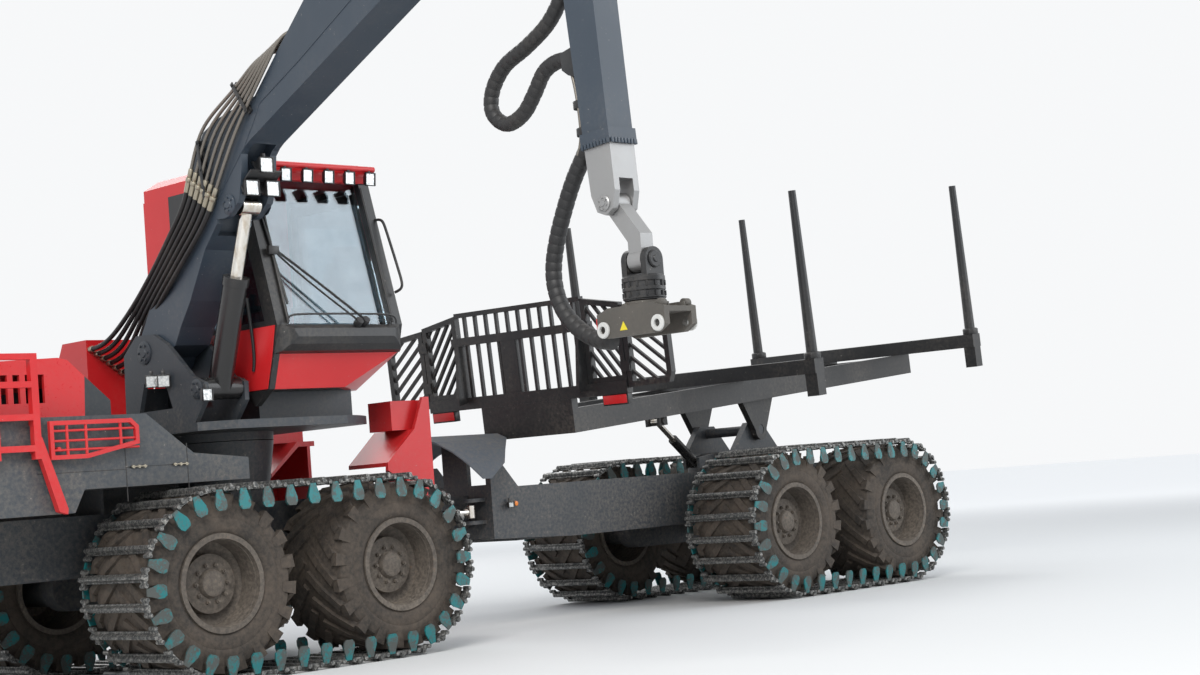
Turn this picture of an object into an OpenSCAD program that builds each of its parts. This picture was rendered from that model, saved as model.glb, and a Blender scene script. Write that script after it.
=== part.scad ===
// Forestry forwarder with a turning cab, a knuckle crane and a turning load bed.
// X points forward, Y to the left and Z up, in millimetres. The ground is Z = 0.

/* [Running gear] */
// Tyre outer diameter
tyre_d = 1220; // [1150:10:1280]
// Tyre width
tyre_w = 700; // [600:10:720]
// Diameter on which the tyre seats
rim_d = 622; // [560:2:660]
// Height of the rim flange over the seat
rim_flange = 22; // [16:1:28]
// Distance between the two wheels of a bogie
bogie_base = 1540; // [1500:10:1580]
// Distance from the front bogies to the rear bogies
wheelbase = 6000; // [5900:50:6200]
// Distance between the left and right wheel centres
gauge = 2090; // [2070:10:2140]
// Length of a track shoe across the track
shoe_len = 810; // [780:10:830]
// Height of a track shoe
shoe_h = 36; // [26:2:46]
// Thickness of a track shoe along the track
shoe_t = 62; // [50:2:80]
// Thickness of the side links
link_t = 14; // [10:1:20]
// Width of a row of side links
link_w = 70; // [60:5:90]
// Number of shoes on one track
shoe_count = 36; // [34:1:38]
// Height of a bogie case
case_h = 330; // [280:10:360]
// Radius of the axle housing
axle_r = 95; // [80:1:98]

/* [Front frame] */
// Outer width of the chassis beams
chassis_w = 980; // [940:10:990]
// Height of the chassis beams
chassis_h = 420; // [400:10:430]
// Thickness of the frame beams
beam_t = 60; // [40:2:70]
// Underside of the chassis above the ground
chassis_z = 760; // [760:5:790]
// Front end of the chassis, from the front bogies
nose_x = 2550; // [2450:10:2650]
// Outer width of the side hull
hull_w = 2080; // [2040:10:2120]
// Deck height beside the bonnet
deck_z = 1830; // [1810:10:1860]
// Thickness of the hull sheets
hull_t = 30; // [20:2:34]
// Width of the bonnet
bonnet_w = 1500; // [1440:10:1560]
// Top of the bonnet above the ground
bonnet_top = 2240; // [2200:10:2280]
// Wall thickness of the bonnet
bonnet_t = 28; // [20:1:36]

/* [Articulation] */
// Distance of the centre pivot behind the front bogies
artic_x = 1950; // [1920:10:2000]
// Radius of the centre pivot pin
artic_pin_r = 50; // [44:1:54]
// Top of the rear frame beams above the ground
rear_top = 1150; // [1130:5:1170]
// Outer width of the rear frame beams
rear_w = 860; // [820:10:900]
// Overhang of the rear frame behind the rear bogies
rear_over = 1250; // [1150:10:1350]
// Distance of the rear frame's front plate behind the centre pivot
rear_neck = 600; // [590:5:640]
// Distance of a steering cylinder from the centre plane
steer_y = 290; // [280:5:300]
// Radius of a steering cylinder barrel
steer_r = 44; // [40:1:46]

/* [Cab and platform] */
// Distance of the slew axis behind the front bogies
slew_x = 120; // [110:5:140]
// Direction of the crane as parked, from straight ahead
slew_rest = 90; // [85:1:95]
// Radius of the slew ring
slew_r = 500; // [480:10:510]
// Underside of the slew ring above the ground
slew_z = 1640; // [1635:5:1650]
// Thickness of the slew ring and of the platform plate
plate_t = 60; // [50:5:64]
// Greatest radius of the platform
platform_r = 1200; // [1180:5:1210]
// Cab width
cab_w = 1130; // [1110:10:1140]
// Distance of the cab centre from the slew axis
cab_side = 330; // [325:5:340]
// Cab floor above the ground
cab_floor = 1960; // [1950:5:1980]
// Window sill above the ground
cab_sill = 2400; // [2380:10:2420]
// Underside of the roof above the ground
cab_top = 3480; // [3440:10:3500]
// Wall thickness of the cab
cab_t = 50; // [40:2:56]
// Thickness of the panes
pane_t = 8; // [6:1:12]
// Thickness of the roof
roof_t = 150; // [130:5:165]

/* [Crane] */
// Distance of the boom plane from the slew axis
crane_side = 510; // [505:5:520]
// Boom foot pin ahead of the slew axis
foot_s = 330; // [315:5:345]
// Boom foot pin above the ground
foot_z = 2300; // [2290:5:2315]
// Lift cylinder foot pin ahead of the slew axis
lift_s = 950; // [940:5:960]
// Lift cylinder foot pin above the ground
lift_z = 1990; // [1985:5:2000]
// Length of the main boom between its pins
boom_len = 5240; // [5150:10:5300]
// Angle of the main boom above the horizontal, as parked
boom_rest = 32.5; // [31:0.5:34]
// Width of the main boom
boom_w = 290; // [270:5:300]
// Direction of the outer boom from the horizontal, as parked
stick_rest = -86; // [-88:0.5:-84]
// Length of the outer boom below its pivot
stick_len = 2070; // [2030:10:2110]
// Width of the outer boom
stick_w = 200; // [190:5:210]
// Wall thickness of the outer boom
stick_t = 16; // [12:1:20]
// Length from the outer boom's mouth to the tip pin, drawn in
head_reach = 350; // [330:10:380]
// Stroke of the telescopic extension
ext_stroke = 1000; // [900:50:1050]
// Radius of the crane pins
pin_r = 40; // [34:1:44]
// Thickness of the ear plates
ear_t = 36; // [30:1:40]
// Radius of the lift cylinder barrel
lift_r = 85; // [75:1:88]
// Radius of the lift cylinder rod
lift_rod_r = 45; // [38:1:50]
// Radius of the outer cylinder barrel
outer_r = 70; // [62:1:74]
// Radius of the outer cylinder rod
outer_rod_r = 38; // [32:1:42]
// Angle of the hanging link from straight down, as parked
link_rest = 25; // [20:1:30]
// Length of the hanging link between its pins
link_len = 380; // [370:5:400]
// Radius of the rotator
rotator_r = 115; // [105:1:120]
// Height of the rotator
rotator_h = 200; // [190:5:220]
// Length of the quick hitch
hitch_len = 520; // [480:10:560]
// Width of the quick hitch
hitch_w = 260; // [240:5:290]
// Radius of the bores of the quick hitch
hitch_bore_r = 22; // [18:1:25]

/* [Load bed] */
// Tilt pin of the bed above the ground
tilt_z = 1500; // [1490:5:1520]
// Turn of the bed as parked
bed_turn = 8; // [6:0.5:10]
// Nose-down tilt of the bed as parked
bed_tilt = 4.5; // [3.5:0.5:5.5]
// Distance from the centre pivot back to the headboard
head_back = 1150; // [1120:10:1200]
// Distance from the tilt pin to the rear bolster
bed_rear = 2700; // [2650:10:2750]
// Distance from the tilt pin to the middle bolster
bed_mid = 430; // [390:10:440]
// Spacing of the stakes across the bed
stake_gauge = 2540; // [2500:10:2580]
// Height of a stake above the underside of its bolster
stake_h = 1840; // [1760:10:1880]
// Width of the headboard
head_w = 2980; // [2920:10:3020]
// Height of the headboard's centre above its lower beam
head_h = 720; // [690:10:760]

/* [Hidden] */
$fn = 48;

// Clearances
seat_gap = 0.3;
pin_gap = 0.1;
side_gap = 6;
move_gap = 8;

// Running gear
tyre_r = tyre_d / 2;
belt_r = tyre_r + seat_gap;
track_r = belt_r + link_t + shoe_h;
axle_z = track_r;
wheel_y = gauge / 2;
bead_w = tyre_w - 40;
case_y = 500;
case_t = 165;
hub_y = wheel_y + 60;

// Front frame
frame_top = chassis_z + chassis_h;
mid_z = chassis_z + chassis_h / 2;
frame_rear = -1460;
hull_rear = 250;
steer_foot_x = frame_rear - 60;
steer_eye_x = -artic_x - rear_neck + 120;
sweep_r = platform_r + 30;
low_z = slew_z - 20;
bonnet_rear = 1145;
bonnet_z = deck_z + seat_gap;
bonnet_hinge = [nose_x + 150, bonnet_z + 20];
hinge_r = 11;

// Cab, in the turned frame: s is ahead of the slew axis
cab_s0 = -270;
cab_split = 60;
cab_front = 1150;
cab_brow = 1010;
cab_sill_s = 1290;
visor_s = cab_brow + 110;
visor_z = cab_top + roof_t - 60;
visor_r = 22;
visor_half = cab_w / 2 - 30;
door_axis = [107, cab_side + cab_w / 2 + 3];
door_hinge_r = 12;
door_hinge_h = 60;
deck_top = slew_z + 2 * plate_t;

// Crane, in the boom plane: s ahead of the slew axis, then height
function turn(a, p) = [p[0] * cos(a) - p[1] * sin(a), p[0] * sin(a) + p[1] * cos(a)];
foot = [foot_s, foot_z];
lift_foot = [lift_s, lift_z];
tip = foot + turn(boom_rest, [boom_len, 0]);
lift_eye_uv = [1402, 188];
lift_eye = foot + turn(boom_rest, lift_eye_uv);
outer_foot_uv = [boom_len - 2040, 700];
outer_foot = foot + turn(boom_rest, outer_foot_uv);
outer_eye_uv = [-380, 0];
tip_x = stick_len + head_reach;
outer_eye = tip + turn(stick_rest, outer_eye_uv);
tip_pin = tip + turn(stick_rest, [tip_x, 0]);
link_dir = link_rest - 90;
cross_pin = tip_pin + turn(link_dir, [link_len, 0]);
hang_dir = -90;
ear_in = boom_w / 2 + side_gap;
cavity_h = 168;

// Load bed, in the bed's own frame: u ahead of the tilt pin, v above it
beam_low = 280;
beam_high = 480;
head_low = beam_high + 80;
bed_beam_y = 380;
drape_z = 1600;
bed_front = wheelbase - artic_x - head_back;
tilt_foot = [600, rear_top + 80 - tilt_z];
tilt_eye_uv = [1150, beam_low - 60];
tilt_eye = turn(-bed_tilt, tilt_eye_uv);
tilt_len = norm(tilt_eye - tilt_foot);
tilt_dir = atan2(tilt_eye[1] - tilt_foot[1], tilt_eye[0] - tilt_foot[0]);

// The origin is the middle of the machine's bounding box, on the ground
stake_out = stake_gauge / 2 + 60;
bed_end = (bed_rear + 65) * cos(bed_tilt) - beam_low * sin(bed_tilt);
front_end = nose_x + 229;
rear_end = wheelbase + bed_end * cos(bed_turn) + stake_out * sin(bed_turn);
left_end = cross_pin[0] + hitch_len / 2;
right_end = bed_end * sin(bed_turn) + stake_out * cos(bed_turn);
origin_x = (rear_end - front_end) / 2;
origin_y = (right_end - left_end) / 2;

// Places pieces of the machine from the front bogies' centre
module machine()
    translate([origin_x, origin_y, 0])
        children();

// Places pieces on the turned platform
module turned()
    machine()
        translate([-slew_x, 0, 0])
            rotate([0, 0, slew_rest])
                children();

// Places pieces in the boom plane
module crane()
    turned()
        translate([0, -crane_side, 0])
            children();

// Places pieces at a pin of the crane, with x along the given direction
module at_pin(p, a)
    crane()
        translate([p[0], 0, p[1]])
            rotate([0, -a, 0])
                children();

// Places pieces on the turned and tilted load bed
module bed()
    machine()
        translate([-wheelbase, 0, tilt_z])
            rotate([0, 0, bed_turn])
                rotate([0, bed_tilt, 0])
                    children();

// A plate drawn in X and Z, with its thickness along Y from y
module upright(y, t)
    translate([0, y + t, 0])
        rotate([90, 0, 0])
            linear_extrude(t)
                children();

// A plate drawn in X and Z, centred on Y = 0
module mid_plate(t)
    upright(-t / 2, t)
        children();

// The same piece on both sides of the centre plane
module both_sides() {
    children();
    mirror([0, 1, 0])
        children();
}

// A round bar along Y
module bar_y(x, z, r, y0, y1)
    translate([x, y0, z])
        rotate([-90, 0, 0])
            cylinder(r = r, h = y1 - y0);

// A box from one corner to the other
module block(a, b)
    translate(a)
        cube(b - a);

// A round bar between two points
module rod_between(a, b, r) {
    d = b - a;
    translate(a)
        rotate([0, acos(d[2] / norm(d)), atan2(d[1], d[0])])
            cylinder(r = r, h = norm(d));
}

// Running gear

// A wheel place on one bogie: side is 1 left or -1 right, and z points outwards
module wheel_place(x, side)
    translate([x, side * wheel_y, axle_z])
        rotate([-90 * side, 0, 0])
            children();

// The four wheels round one bogie axle at x
module four_wheels(x)
    for (side = [1, -1])
        for (end = [1, -1])
            wheel_place(x + end * bogie_base / 2, side)
                children();

module tyre_section()
    polygon([
        [rim_d / 2 + seat_gap, -bead_w / 2],
        [rim_d / 2 + rim_flange + 6, -bead_w / 2],
        [rim_d / 2 + rim_flange + 16, -tyre_w / 2 + 4],
        [tyre_r - 190, -tyre_w / 2],
        [tyre_r - 60, -tyre_w / 2 + 12],
        [tyre_r - 14, -tyre_w / 2 + 60],
        [tyre_r, -tyre_w / 2 + 130],
        [tyre_r, tyre_w / 2 - 130],
        [tyre_r - 14, tyre_w / 2 - 60],
        [tyre_r - 60, tyre_w / 2 - 12],
        [tyre_r - 190, tyre_w / 2],
        [rim_d / 2 + rim_flange + 16, tyre_w / 2 - 4],
        [rim_d / 2 + rim_flange + 6, bead_w / 2],
        [rim_d / 2 + seat_gap, bead_w / 2]
    ]);

module tyres(x)
    color([0.09, 0.09, 0.09])
        machine()
            four_wheels(x)
                rotate_extrude($fn = 96)
                    tyre_section();

module rim_section() {
    rs = rim_d / 2;
    edge = bead_w / 2 + seat_gap;
    polygon([
        [rs - 14, -edge - 16],
        [rs + rim_flange, -edge - 16],
        [rs + rim_flange, -edge],
        [rs, -edge],
        [rs, edge],
        [rs + rim_flange, edge],
        [rs + rim_flange, edge + 16],
        [rs - 14, edge + 16],
        [rs - 26, 150],
        [205, 118],
        [200, 190],
        [150, 200],
        [0, 200],
        [0, 60],
        [200, 60],
        [rs - 30, 124],
        [rs - 14, 90]
    ]);
}

module rims(x)
    color([0.33, 0.31, 0.29])
        machine()
            four_wheels(x)
                rotate_extrude($fn = 96)
                    rim_section();

// The outline of a loop round both wheels, r from the wheel centres
module loop_outline(r) {
    for (end = [1, -1])
        translate([end * bogie_base / 2, 0])
            circle(r = r, $fn = 96);
    translate([-bogie_base / 2, -r])
        square([bogie_base, 2 * r]);
}

// Place and outward angle at distance d along the loop of radius r
function loop_place(d, r) =
    let (b = bogie_base, arc = PI * r)
    d < b ? [-b / 2 + d, r, 90]
    : d < b + arc ?
        let (t = (d - b) / r * 180 / PI)
        [b / 2 + r * sin(t), r * cos(t), 90 - t]
    : d < 2 * b + arc ? [b / 2 - (d - b - arc), -r, -90]
    : let (t = (d - 2 * b - arc) / r * 180 / PI)
        [-b / 2 - r * sin(t), -r * cos(t), -90 - t];

// Cross-section of one shoe, standing outwards from the side links
module shoe_outline()
    polygon([
        [0.2 - link_t, -shoe_t / 2],
        [0, -shoe_t / 2],
        [shoe_h, -shoe_t * 0.34],
        [shoe_h, shoe_t * 0.34],
        [0, shoe_t / 2],
        [0.2 - link_t, shoe_t / 2]
    ]);

module track_loop() {
    loop_r = belt_r + link_t;
    loop_len = 2 * bogie_base + 2 * PI * loop_r;
    upright(-shoe_len / 2, shoe_len)
        for (i = [0:shoe_count - 1]) {
            p = loop_place((i + 0.5) * loop_len / shoe_count, loop_r);
            translate([p[0], p[1]])
                rotate(p[2])
                    shoe_outline();
        }
    for (y = [-shoe_len / 2, shoe_len / 2 - link_w])
        upright(y, link_w)
            difference() {
                loop_outline(loop_r);
                loop_outline(belt_r);
            }
}

module tracks(x)
    color([0.24, 0.28, 0.29])
        machine()
            for (side = [1, -1])
                translate([x, side * wheel_y, axle_z])
                    track_loop();

// Axle housing, bogie cases and wheel stubs
module bogie_axle(x, frame_z, beam_y)
    color([0.10, 0.11, 0.12])
        machine()
            translate([x, 0, 0]) {
                bar_y(0, axle_z, axle_r, -case_y, case_y);
                translate([0, 0, axle_z])
                    sphere(r = 185);
                both_sides() {
                    upright(case_y, case_t) {
                        for (end = [1, -1])
                            translate([end * bogie_base / 2, axle_z])
                                circle(r = case_h / 2);
                        translate([-bogie_base / 2, axle_z - case_h / 2])
                            square([bogie_base, case_h]);
                    }
                    for (end = [1, -1])
                        bar_y(end * bogie_base / 2, axle_z, 130, case_y + case_t, hub_y);
                    block([-150, beam_y, axle_z], [150, beam_y + beam_t, frame_z]);
                }
            }

// Front frame

module front_frame() {
    beam_y = chassis_w / 2 - beam_t;
    color([0.10, 0.11, 0.12])
        machine()
            difference() {
                union() {
                    both_sides()
                        block([frame_rear, beam_y, chassis_z], [nose_x, beam_y + beam_t, frame_top]);
                    for (x = [frame_rear, nose_x - 40])
                        block([x, -beam_y - 1, chassis_z], [x + 40, beam_y + 1, frame_top]);
                    for (x = [[frame_rear + 20, -260], [300, nose_x - 20]])
                        block([x[0], -beam_y - 1, chassis_z], [x[1], beam_y + 1, chassis_z + 20]);
                    block([-slew_x - 560, -beam_y - 1, frame_top - 40],
                        [-slew_x + 560, beam_y + 1, frame_top]);
                    translate([-slew_x, 0, frame_top - 20])
                        cylinder(r1 = 430, r2 = slew_r, h = slew_z - side_gap - frame_top + 20);
                    for (z = [chassis_z, frame_top - 70])
                        translate([-artic_x, 0, z])
                            linear_extrude(70) {
                                circle(r = 150);
                                translate([0, -150])
                                    square([artic_x + frame_rear + 20, 300]);
                            }
                    both_sides()
                        for (z = [mid_z - 105, mid_z + 75])
                            translate([steer_foot_x, steer_y, z])
                                linear_extrude(30) {
                                    circle(r = 60);
                                    translate([0, -60])
                                        square([frame_rear - steer_foot_x + 10, 120]);
                                }
                    both_sides()
                        translate([steer_foot_x, steer_y, mid_z - 105])
                            cylinder(r = 30, h = 210);
                }
                translate([-slew_x, 0, slew_z - 120])
                    cylinder(r = 380, h = 200);
                translate([-artic_x, 0, chassis_z - 1])
                    cylinder(r = artic_pin_r + pin_gap, h = chassis_h + 2);
            }
}

module engine()
    color([0.30, 0.31, 0.32])
        machine()
            block([1250, -330, chassis_z + 20], [2350, 330, 1850]);

// Top line of the hull, from the nose back to its rear end
function hull_line(drop) = [
    [nose_x + 100, deck_z - drop],
    [1060, deck_z - drop],
    [700, 1550 - drop],
    [hull_rear, 1500 - drop]
];

module side_hull() {
    inner = hull_w / 2 - hull_t;
    skirt_z = 2 * track_r + 28;
    color([0.17, 0.20, 0.23])
        machine() {
            both_sides() {
                bar_y(bonnet_hinge[0], bonnet_hinge[1], hinge_r, 340, 400);
                upright(340, 60)
                    polygon([[nose_x + 99, deck_z - 90], [nose_x + 99, deck_z - 12],
                        bonnet_hinge + [-8, -26], bonnet_hinge + [-5, 0], bonnet_hinge + [5, 0],
                        bonnet_hinge + [10, -40]]);
            }
            difference() {
                union() {
                    both_sides()
                        upright(inner, hull_t)
                            polygon(concat(
                                hull_line(0),
                                [[hull_rear, skirt_z], [1560, skirt_z], [1640, 1200],
                                    [nose_x + 100, 1200]]
                            ));
                    upright(-inner - 1, 2 * inner + 2)
                        polygon(concat(hull_line(0), [for (i = [3:-1:0]) hull_line(hull_t)[i]]));
                    both_sides()
                        block([hull_rear, chassis_w / 2, skirt_z], [1500, inner + 1, skirt_z + 15]);
                    block([nose_x + 80, -inner - 1, frame_top + 20], [nose_x + 100, inner + 1, deck_z - 1]);
                    for (sheet = [[bonnet_rear - 60, deck_z - 1], [470, 1500]]) {
                        block([sheet[0], -inner - 1, skirt_z], [sheet[0] + 20, inner + 1, sheet[1]]);
                        block([sheet[0], -chassis_w / 2, frame_top],
                            [sheet[0] + 20, chassis_w / 2, skirt_z + 1]);
                    }
                }
                block([bonnet_rear + 20, -bonnet_w / 2 + 60, deck_z - hull_t - 1],
                    [nose_x - 60, bonnet_w / 2 - 60, deck_z + 1]);
                translate([-slew_x, 0, low_z])
                    cylinder(r = sweep_r, h = 600, $fn = 96);
                translate([-slew_x, 0, frame_top])
                    cylinder(r = slew_r + 40, h = 600, $fn = 96);
            }
        }
}

// Side outline of the bonnet, drawn in by t
function bonnet_outline(t) = [
    [bonnet_rear + t, bonnet_z - (t > 0 ? 1 : 0)],
    [bonnet_rear + t, bonnet_z + 115],
    [bonnet_rear + 315 + t, bonnet_top - 15 - t],
    [bonnet_rear + 385 + t, bonnet_top - t],
    [nose_x - 60, bonnet_top - 40 - t],
    [nose_x + 120 - t, bonnet_top - 140 - t],
    [nose_x + 140 - t, bonnet_z - (t > 0 ? 1 : 0)]
];

module bonnet()
    color([0.62, 0.07, 0.08])
        machine() {
            difference() {
                mid_plate(bonnet_w)
                    polygon(bonnet_outline(0));
                mid_plate(bonnet_w - 2 * bonnet_t)
                    polygon(bonnet_outline(bonnet_t));
                both_sides()
                    for (i = [0:7])
                        upright(bonnet_w / 2 - bonnet_t - 1, bonnet_t + 2)
                            translate([1640 + i * 90, bonnet_z + 110])
                                square([50, 190]);
                for (i = [0:7])
                    block([nose_x + 90, -490 + i * 125, bonnet_z + 80],
                        [nose_x + 160, -415 + i * 125, bonnet_z + 240]);
            }
            both_sides() {
                bar_y(bonnet_hinge[0], bonnet_hinge[1], hinge_r, 401, 480);
                upright(401, 79)
                    polygon([bonnet_hinge + [-20, -14], bonnet_hinge + [-22, 18],
                        bonnet_hinge + [4, 13], bonnet_hinge + [0, -14]]);
            }
        }

// A closed frame of tube with outline pts in X and Z, at one y
module bar_frame(pts, y, r)
    upright(y - r, 2 * r)
        difference() {
            polygon(pts);
            offset(delta = -2 * r)
                polygon(pts);
        }

module nose_guard()
    color([0.72, 0.09, 0.10])
        machine() {
            for (z = [1180:110:1730])
                block([nose_x + 150, -900, z], [nose_x + 190, 900, z + 40]);
            for (y = [-900, -300, 260, 860])
                block([nose_x + 189, y, 1150], [nose_x + 229, y + 40, 1800]);
            both_sides()
                block([nose_x + 100, 820, 1300], [nose_x + 151, 860, 1340]);
            both_sides()
                block([nose_x + 100, 820, 1620], [nose_x + 151, 860, 1660]);
        }

module side_guards()
    color([0.72, 0.09, 0.10])
        machine() {
            guard_y = hull_w / 2 + 55;
            both_sides() {
                bar_frame([[1830, 1800], [1220, 1800], [1165, 1750], [1165, 1630], [1560, 1550],
                    [1830, 1550]], guard_y, 14);
                for (z = [1610, 1670, 1735])
                    rod_between([1165, guard_y, z], [1830, guard_y, z], 8);
                for (x = [1300, 1560, 1700])
                    rod_between([x, guard_y, x < 1560 ? 1603 : 1550], [x, guard_y, 1800], 10);
                for (x = [1220, 1760])
                    for (z = [1620, 1790])
                        rod_between([x, hull_w / 2, z], [x, guard_y, z], 12);
            }
            for (x = [1900, 2190])
                block([x, hull_w / 2 + 30, 1560], [x + 50, hull_w / 2 + 80, 2240]);
            for (z = [1610, 1810, 2020, 2200])
                block([1945, hull_w / 2 + 30, z], [2195, hull_w / 2 + 80, z + 40]);
            for (x = [1900, 2190])
                for (z = [1600, 1780])
                    block([x + 10, hull_w / 2, z], [x + 40, hull_w / 2 + 31, z + 30]);
            upright(hull_w / 2 + 30, 50)
                polygon([[1895, 1700], [1950, 1700], [1800, 1215], [1740, 1195], [1735, 1230]]);
        }

module rear_steps()
    color([0.66, 0.08, 0.09])
        machine()
            difference() {
                both_sides() {
                    upright(chassis_w / 2 + 440, 30)
                        polygon([[-1500, 1180], [-1500, 1880], [-1440, 1880], [-1340, 1640],
                            [-1060, 1400], [-1060, 1340], [-1330, 1180]]);
                    upright(chassis_w / 2, 441)
                        polygon([[-1500, 1600], [-1340, 1600], [-1060, 1370], [-1060, 1400],
                            [-1330, 1640], [-1500, 1640]]);
                    block([-1455, chassis_w / 2, 1120], [-1425, chassis_w / 2 + 441, 1601]);
                    block([-1490, chassis_w / 2 + 130, 1639], [-1180, chassis_w / 2 + 400, 1860]);
                }
                translate([-slew_x, 0, low_z])
                    cylinder(r = sweep_r, h = 600, $fn = 96);
            }

// Turned platform and cab

module slew_platform() {
    ear_s = [[40, deck_top - 1], [900, deck_top - 1], [1030, 1900], [1035, 2030], [900, 2080],
        [620, 2330], [450, 2420], [230, 2430], [60, 2300]];
    color([0.13, 0.15, 0.17]) {
        turned() {
            translate([0, 0, slew_z])
                cylinder(r = slew_r, h = plate_t + 1);
            translate([0, 0, slew_z - 60])
                cylinder(r = 380 - pin_gap, h = 61);
            translate([0, 0, slew_z + plate_t])
                linear_extrude(plate_t)
                    intersection() {
                        circle(r = platform_r, $fn = 96);
                        translate([-900, -720])
                            square([2000, 1620]);
                    }
            block([-280, cab_side - 420, deck_top - 1], [820, cab_side + 420, cab_floor]);
        }
        crane() {
            both_sides()
                difference() {
                    upright(ear_in, ear_t)
                        polygon(ear_s);
                    upright(ear_in - 1, ear_t + 2)
                        polygon([[220, 1880], [640, 1880], [560, 2080], [300, 2080]]);
                }
            block([40, -ear_in - 1, deck_top - 1], [80, ear_in + 1, 2060]);
            bar_y(foot[0], foot[1], pin_r, -ear_in - 1, ear_in + 1);
            bar_y(lift_foot[0], lift_foot[1], pin_r, -ear_in - 1, ear_in + 1);
        }
    }
}

module tail_box()
    color([0.72, 0.09, 0.10])
        turned()
            upright(-700, 560)
                polygon([[-860, deck_top + seat_gap], [-430, deck_top + seat_gap], [-430, 2470],
                    [-760, 2470], [-930, 2180]]);

// Outline of the cab's side, drawn in by t at the front
function cab_outline(t) = [
    [cab_s0, cab_floor],
    [cab_front - t, cab_floor],
    [cab_front + 80 - t, 2190],
    [cab_sill_s - t, cab_sill],
    [cab_brow - t, cab_top],
    [cab_s0, cab_top]
];

// Outline of the door, grown by g all round
function door_outline(g) = [
    [110 - g, 2010 - g],
    [1095 + g, 2010 - g],
    [1175 + g, 2190],
    [1232 + g, cab_sill],
    [973 + g, 3425 + g],
    [110 - g, 3425 + g]
];

// Window in the door or in the cab's side, drawn in by g
function side_window(g) = [
    [190 + g, 2440 + g],
    [1145 - g, 2440 + g],
    [915 - g, 3345 - g],
    [190 + g, 3345 - g]
];

// The cab's lower front corner on the door side is cut off by a slanted panel
corner_t = 30;
corner_side = 435;
corner_back = 700;
corner_top = [cab_front + 86, cab_floor + 250];
corner = [
    [cab_front, corner_side, cab_floor],
    [corner_top[0], cab_side + cab_w / 2, corner_top[1]],
    [corner_back, cab_side + cab_w / 2, cab_floor]
];
corner_mid = (corner[0] + corner[1] + corner[2]) / 3;
corner_cross = cross(corner[1] - corner[0], corner[2] - corner[0]);
corner_in = corner_cross / norm(corner_cross);

// The space from depth d0 to depth d1 behind the slanted panel's outer face
module corner_slab(d0, d1)
    polyhedron(
        points = [for (d = [d0, d1]) for (p = corner) corner_mid + 4 * (p - corner_mid) + d * corner_in],
        faces = [[0, 1, 2], [5, 4, 3], [0, 3, 4, 1], [1, 4, 5, 2], [2, 5, 3, 0]]
    );

function rear_window(g) = [[cab_side - 400 + g, 2500 + g], [cab_side + 400 - g, 3340 - g]];

// Hinge knuckles of the door: level 0 on the frame, level 1 above it on the door
module door_knuckles(level, r)
    for (z = [cab_floor + 240, cab_top - 420])
        translate([door_axis[0], door_axis[1], z + level * (door_hinge_h + 1)])
            cylinder(r = r, h = door_hinge_h);

module cab_frame() {
    right = cab_side - cab_w / 2;
    left = cab_side + cab_w / 2 - cab_t;
    color([0.08, 0.09, 0.10])
        turned() {
            door_knuckles(0, door_hinge_r);
            difference() {
                union() {
                    for (y = [right, left])
                        upright(y, cab_t)
                            polygon(cab_outline(0));
                    upright(right, cab_t)
                        polygon([[cab_front - 250, cab_floor + 1], [cab_front - 172, cab_floor - 108],
                            [cab_front - 10, cab_floor + 1]]);
                    block([cab_s0, right + 1, cab_floor], [cab_front - 60, left + 1, cab_floor + 30]);
                    for (y = [right + cab_t - 1, left - 45])
                        upright(y, 46)
                            polygon([[cab_sill_s - 90, cab_sill], [cab_sill_s, cab_sill],
                                [cab_brow, cab_top], [cab_brow - 90, cab_top]]);
                }
                upright(right - 1, cab_t + 2)
                    polygon(side_window(0));
                upright(left - 1, cab_t + 2)
                    polygon(door_outline(side_gap));
                block([cab_s0 - 1, right - 1, cab_floor - 1], [cab_split, left + cab_t + 1, cab_top + 1]);
                block([cab_front - 60, right + cab_t, cab_floor - 1],
                    [cab_sill_s + 40, left, cab_sill]);
                corner_slab(-600, corner_t);
                door_knuckles(1, door_hinge_r + 1.5);
            }
        }
}

module cab_rear() {
    right = cab_side - cab_w / 2;
    left = cab_side + cab_w / 2;
    color([0.72, 0.09, 0.10])
        turned()
            difference() {
                block([cab_s0, right, cab_floor], [cab_split, left, cab_top]);
                block([cab_s0 + cab_t, right + cab_t, cab_floor + 30], [cab_split + 1, left - cab_t, cab_top + 1]);
                block([cab_s0 - 1, rear_window(0)[0][0], rear_window(0)[0][1]],
                    [cab_s0 + cab_t + 1, rear_window(0)[1][0], rear_window(0)[1][1]]);
            }
}

module cab_apron() {
    right = cab_side - cab_w / 2 + cab_t + seat_gap;
    wide = cab_w - 2 * cab_t - 2 * seat_gap;
    color([0.72, 0.09, 0.10])
        turned() {
            difference() {
                upright(right, wide)
                    polygon([[cab_front - 59, cab_floor], [cab_front, cab_floor], [cab_front + 80, 2190],
                        [cab_sill_s, cab_sill], [cab_sill_s - 80, cab_sill - 1],
                        [cab_front - 59, 2190]]);
                corner_slab(-600, 0);
            }
            intersection() {
                upright(cab_side - cab_w / 2, cab_w)
                    polygon(cab_outline(0));
                corner_slab(0, corner_t);
            }
        }
}

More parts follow.
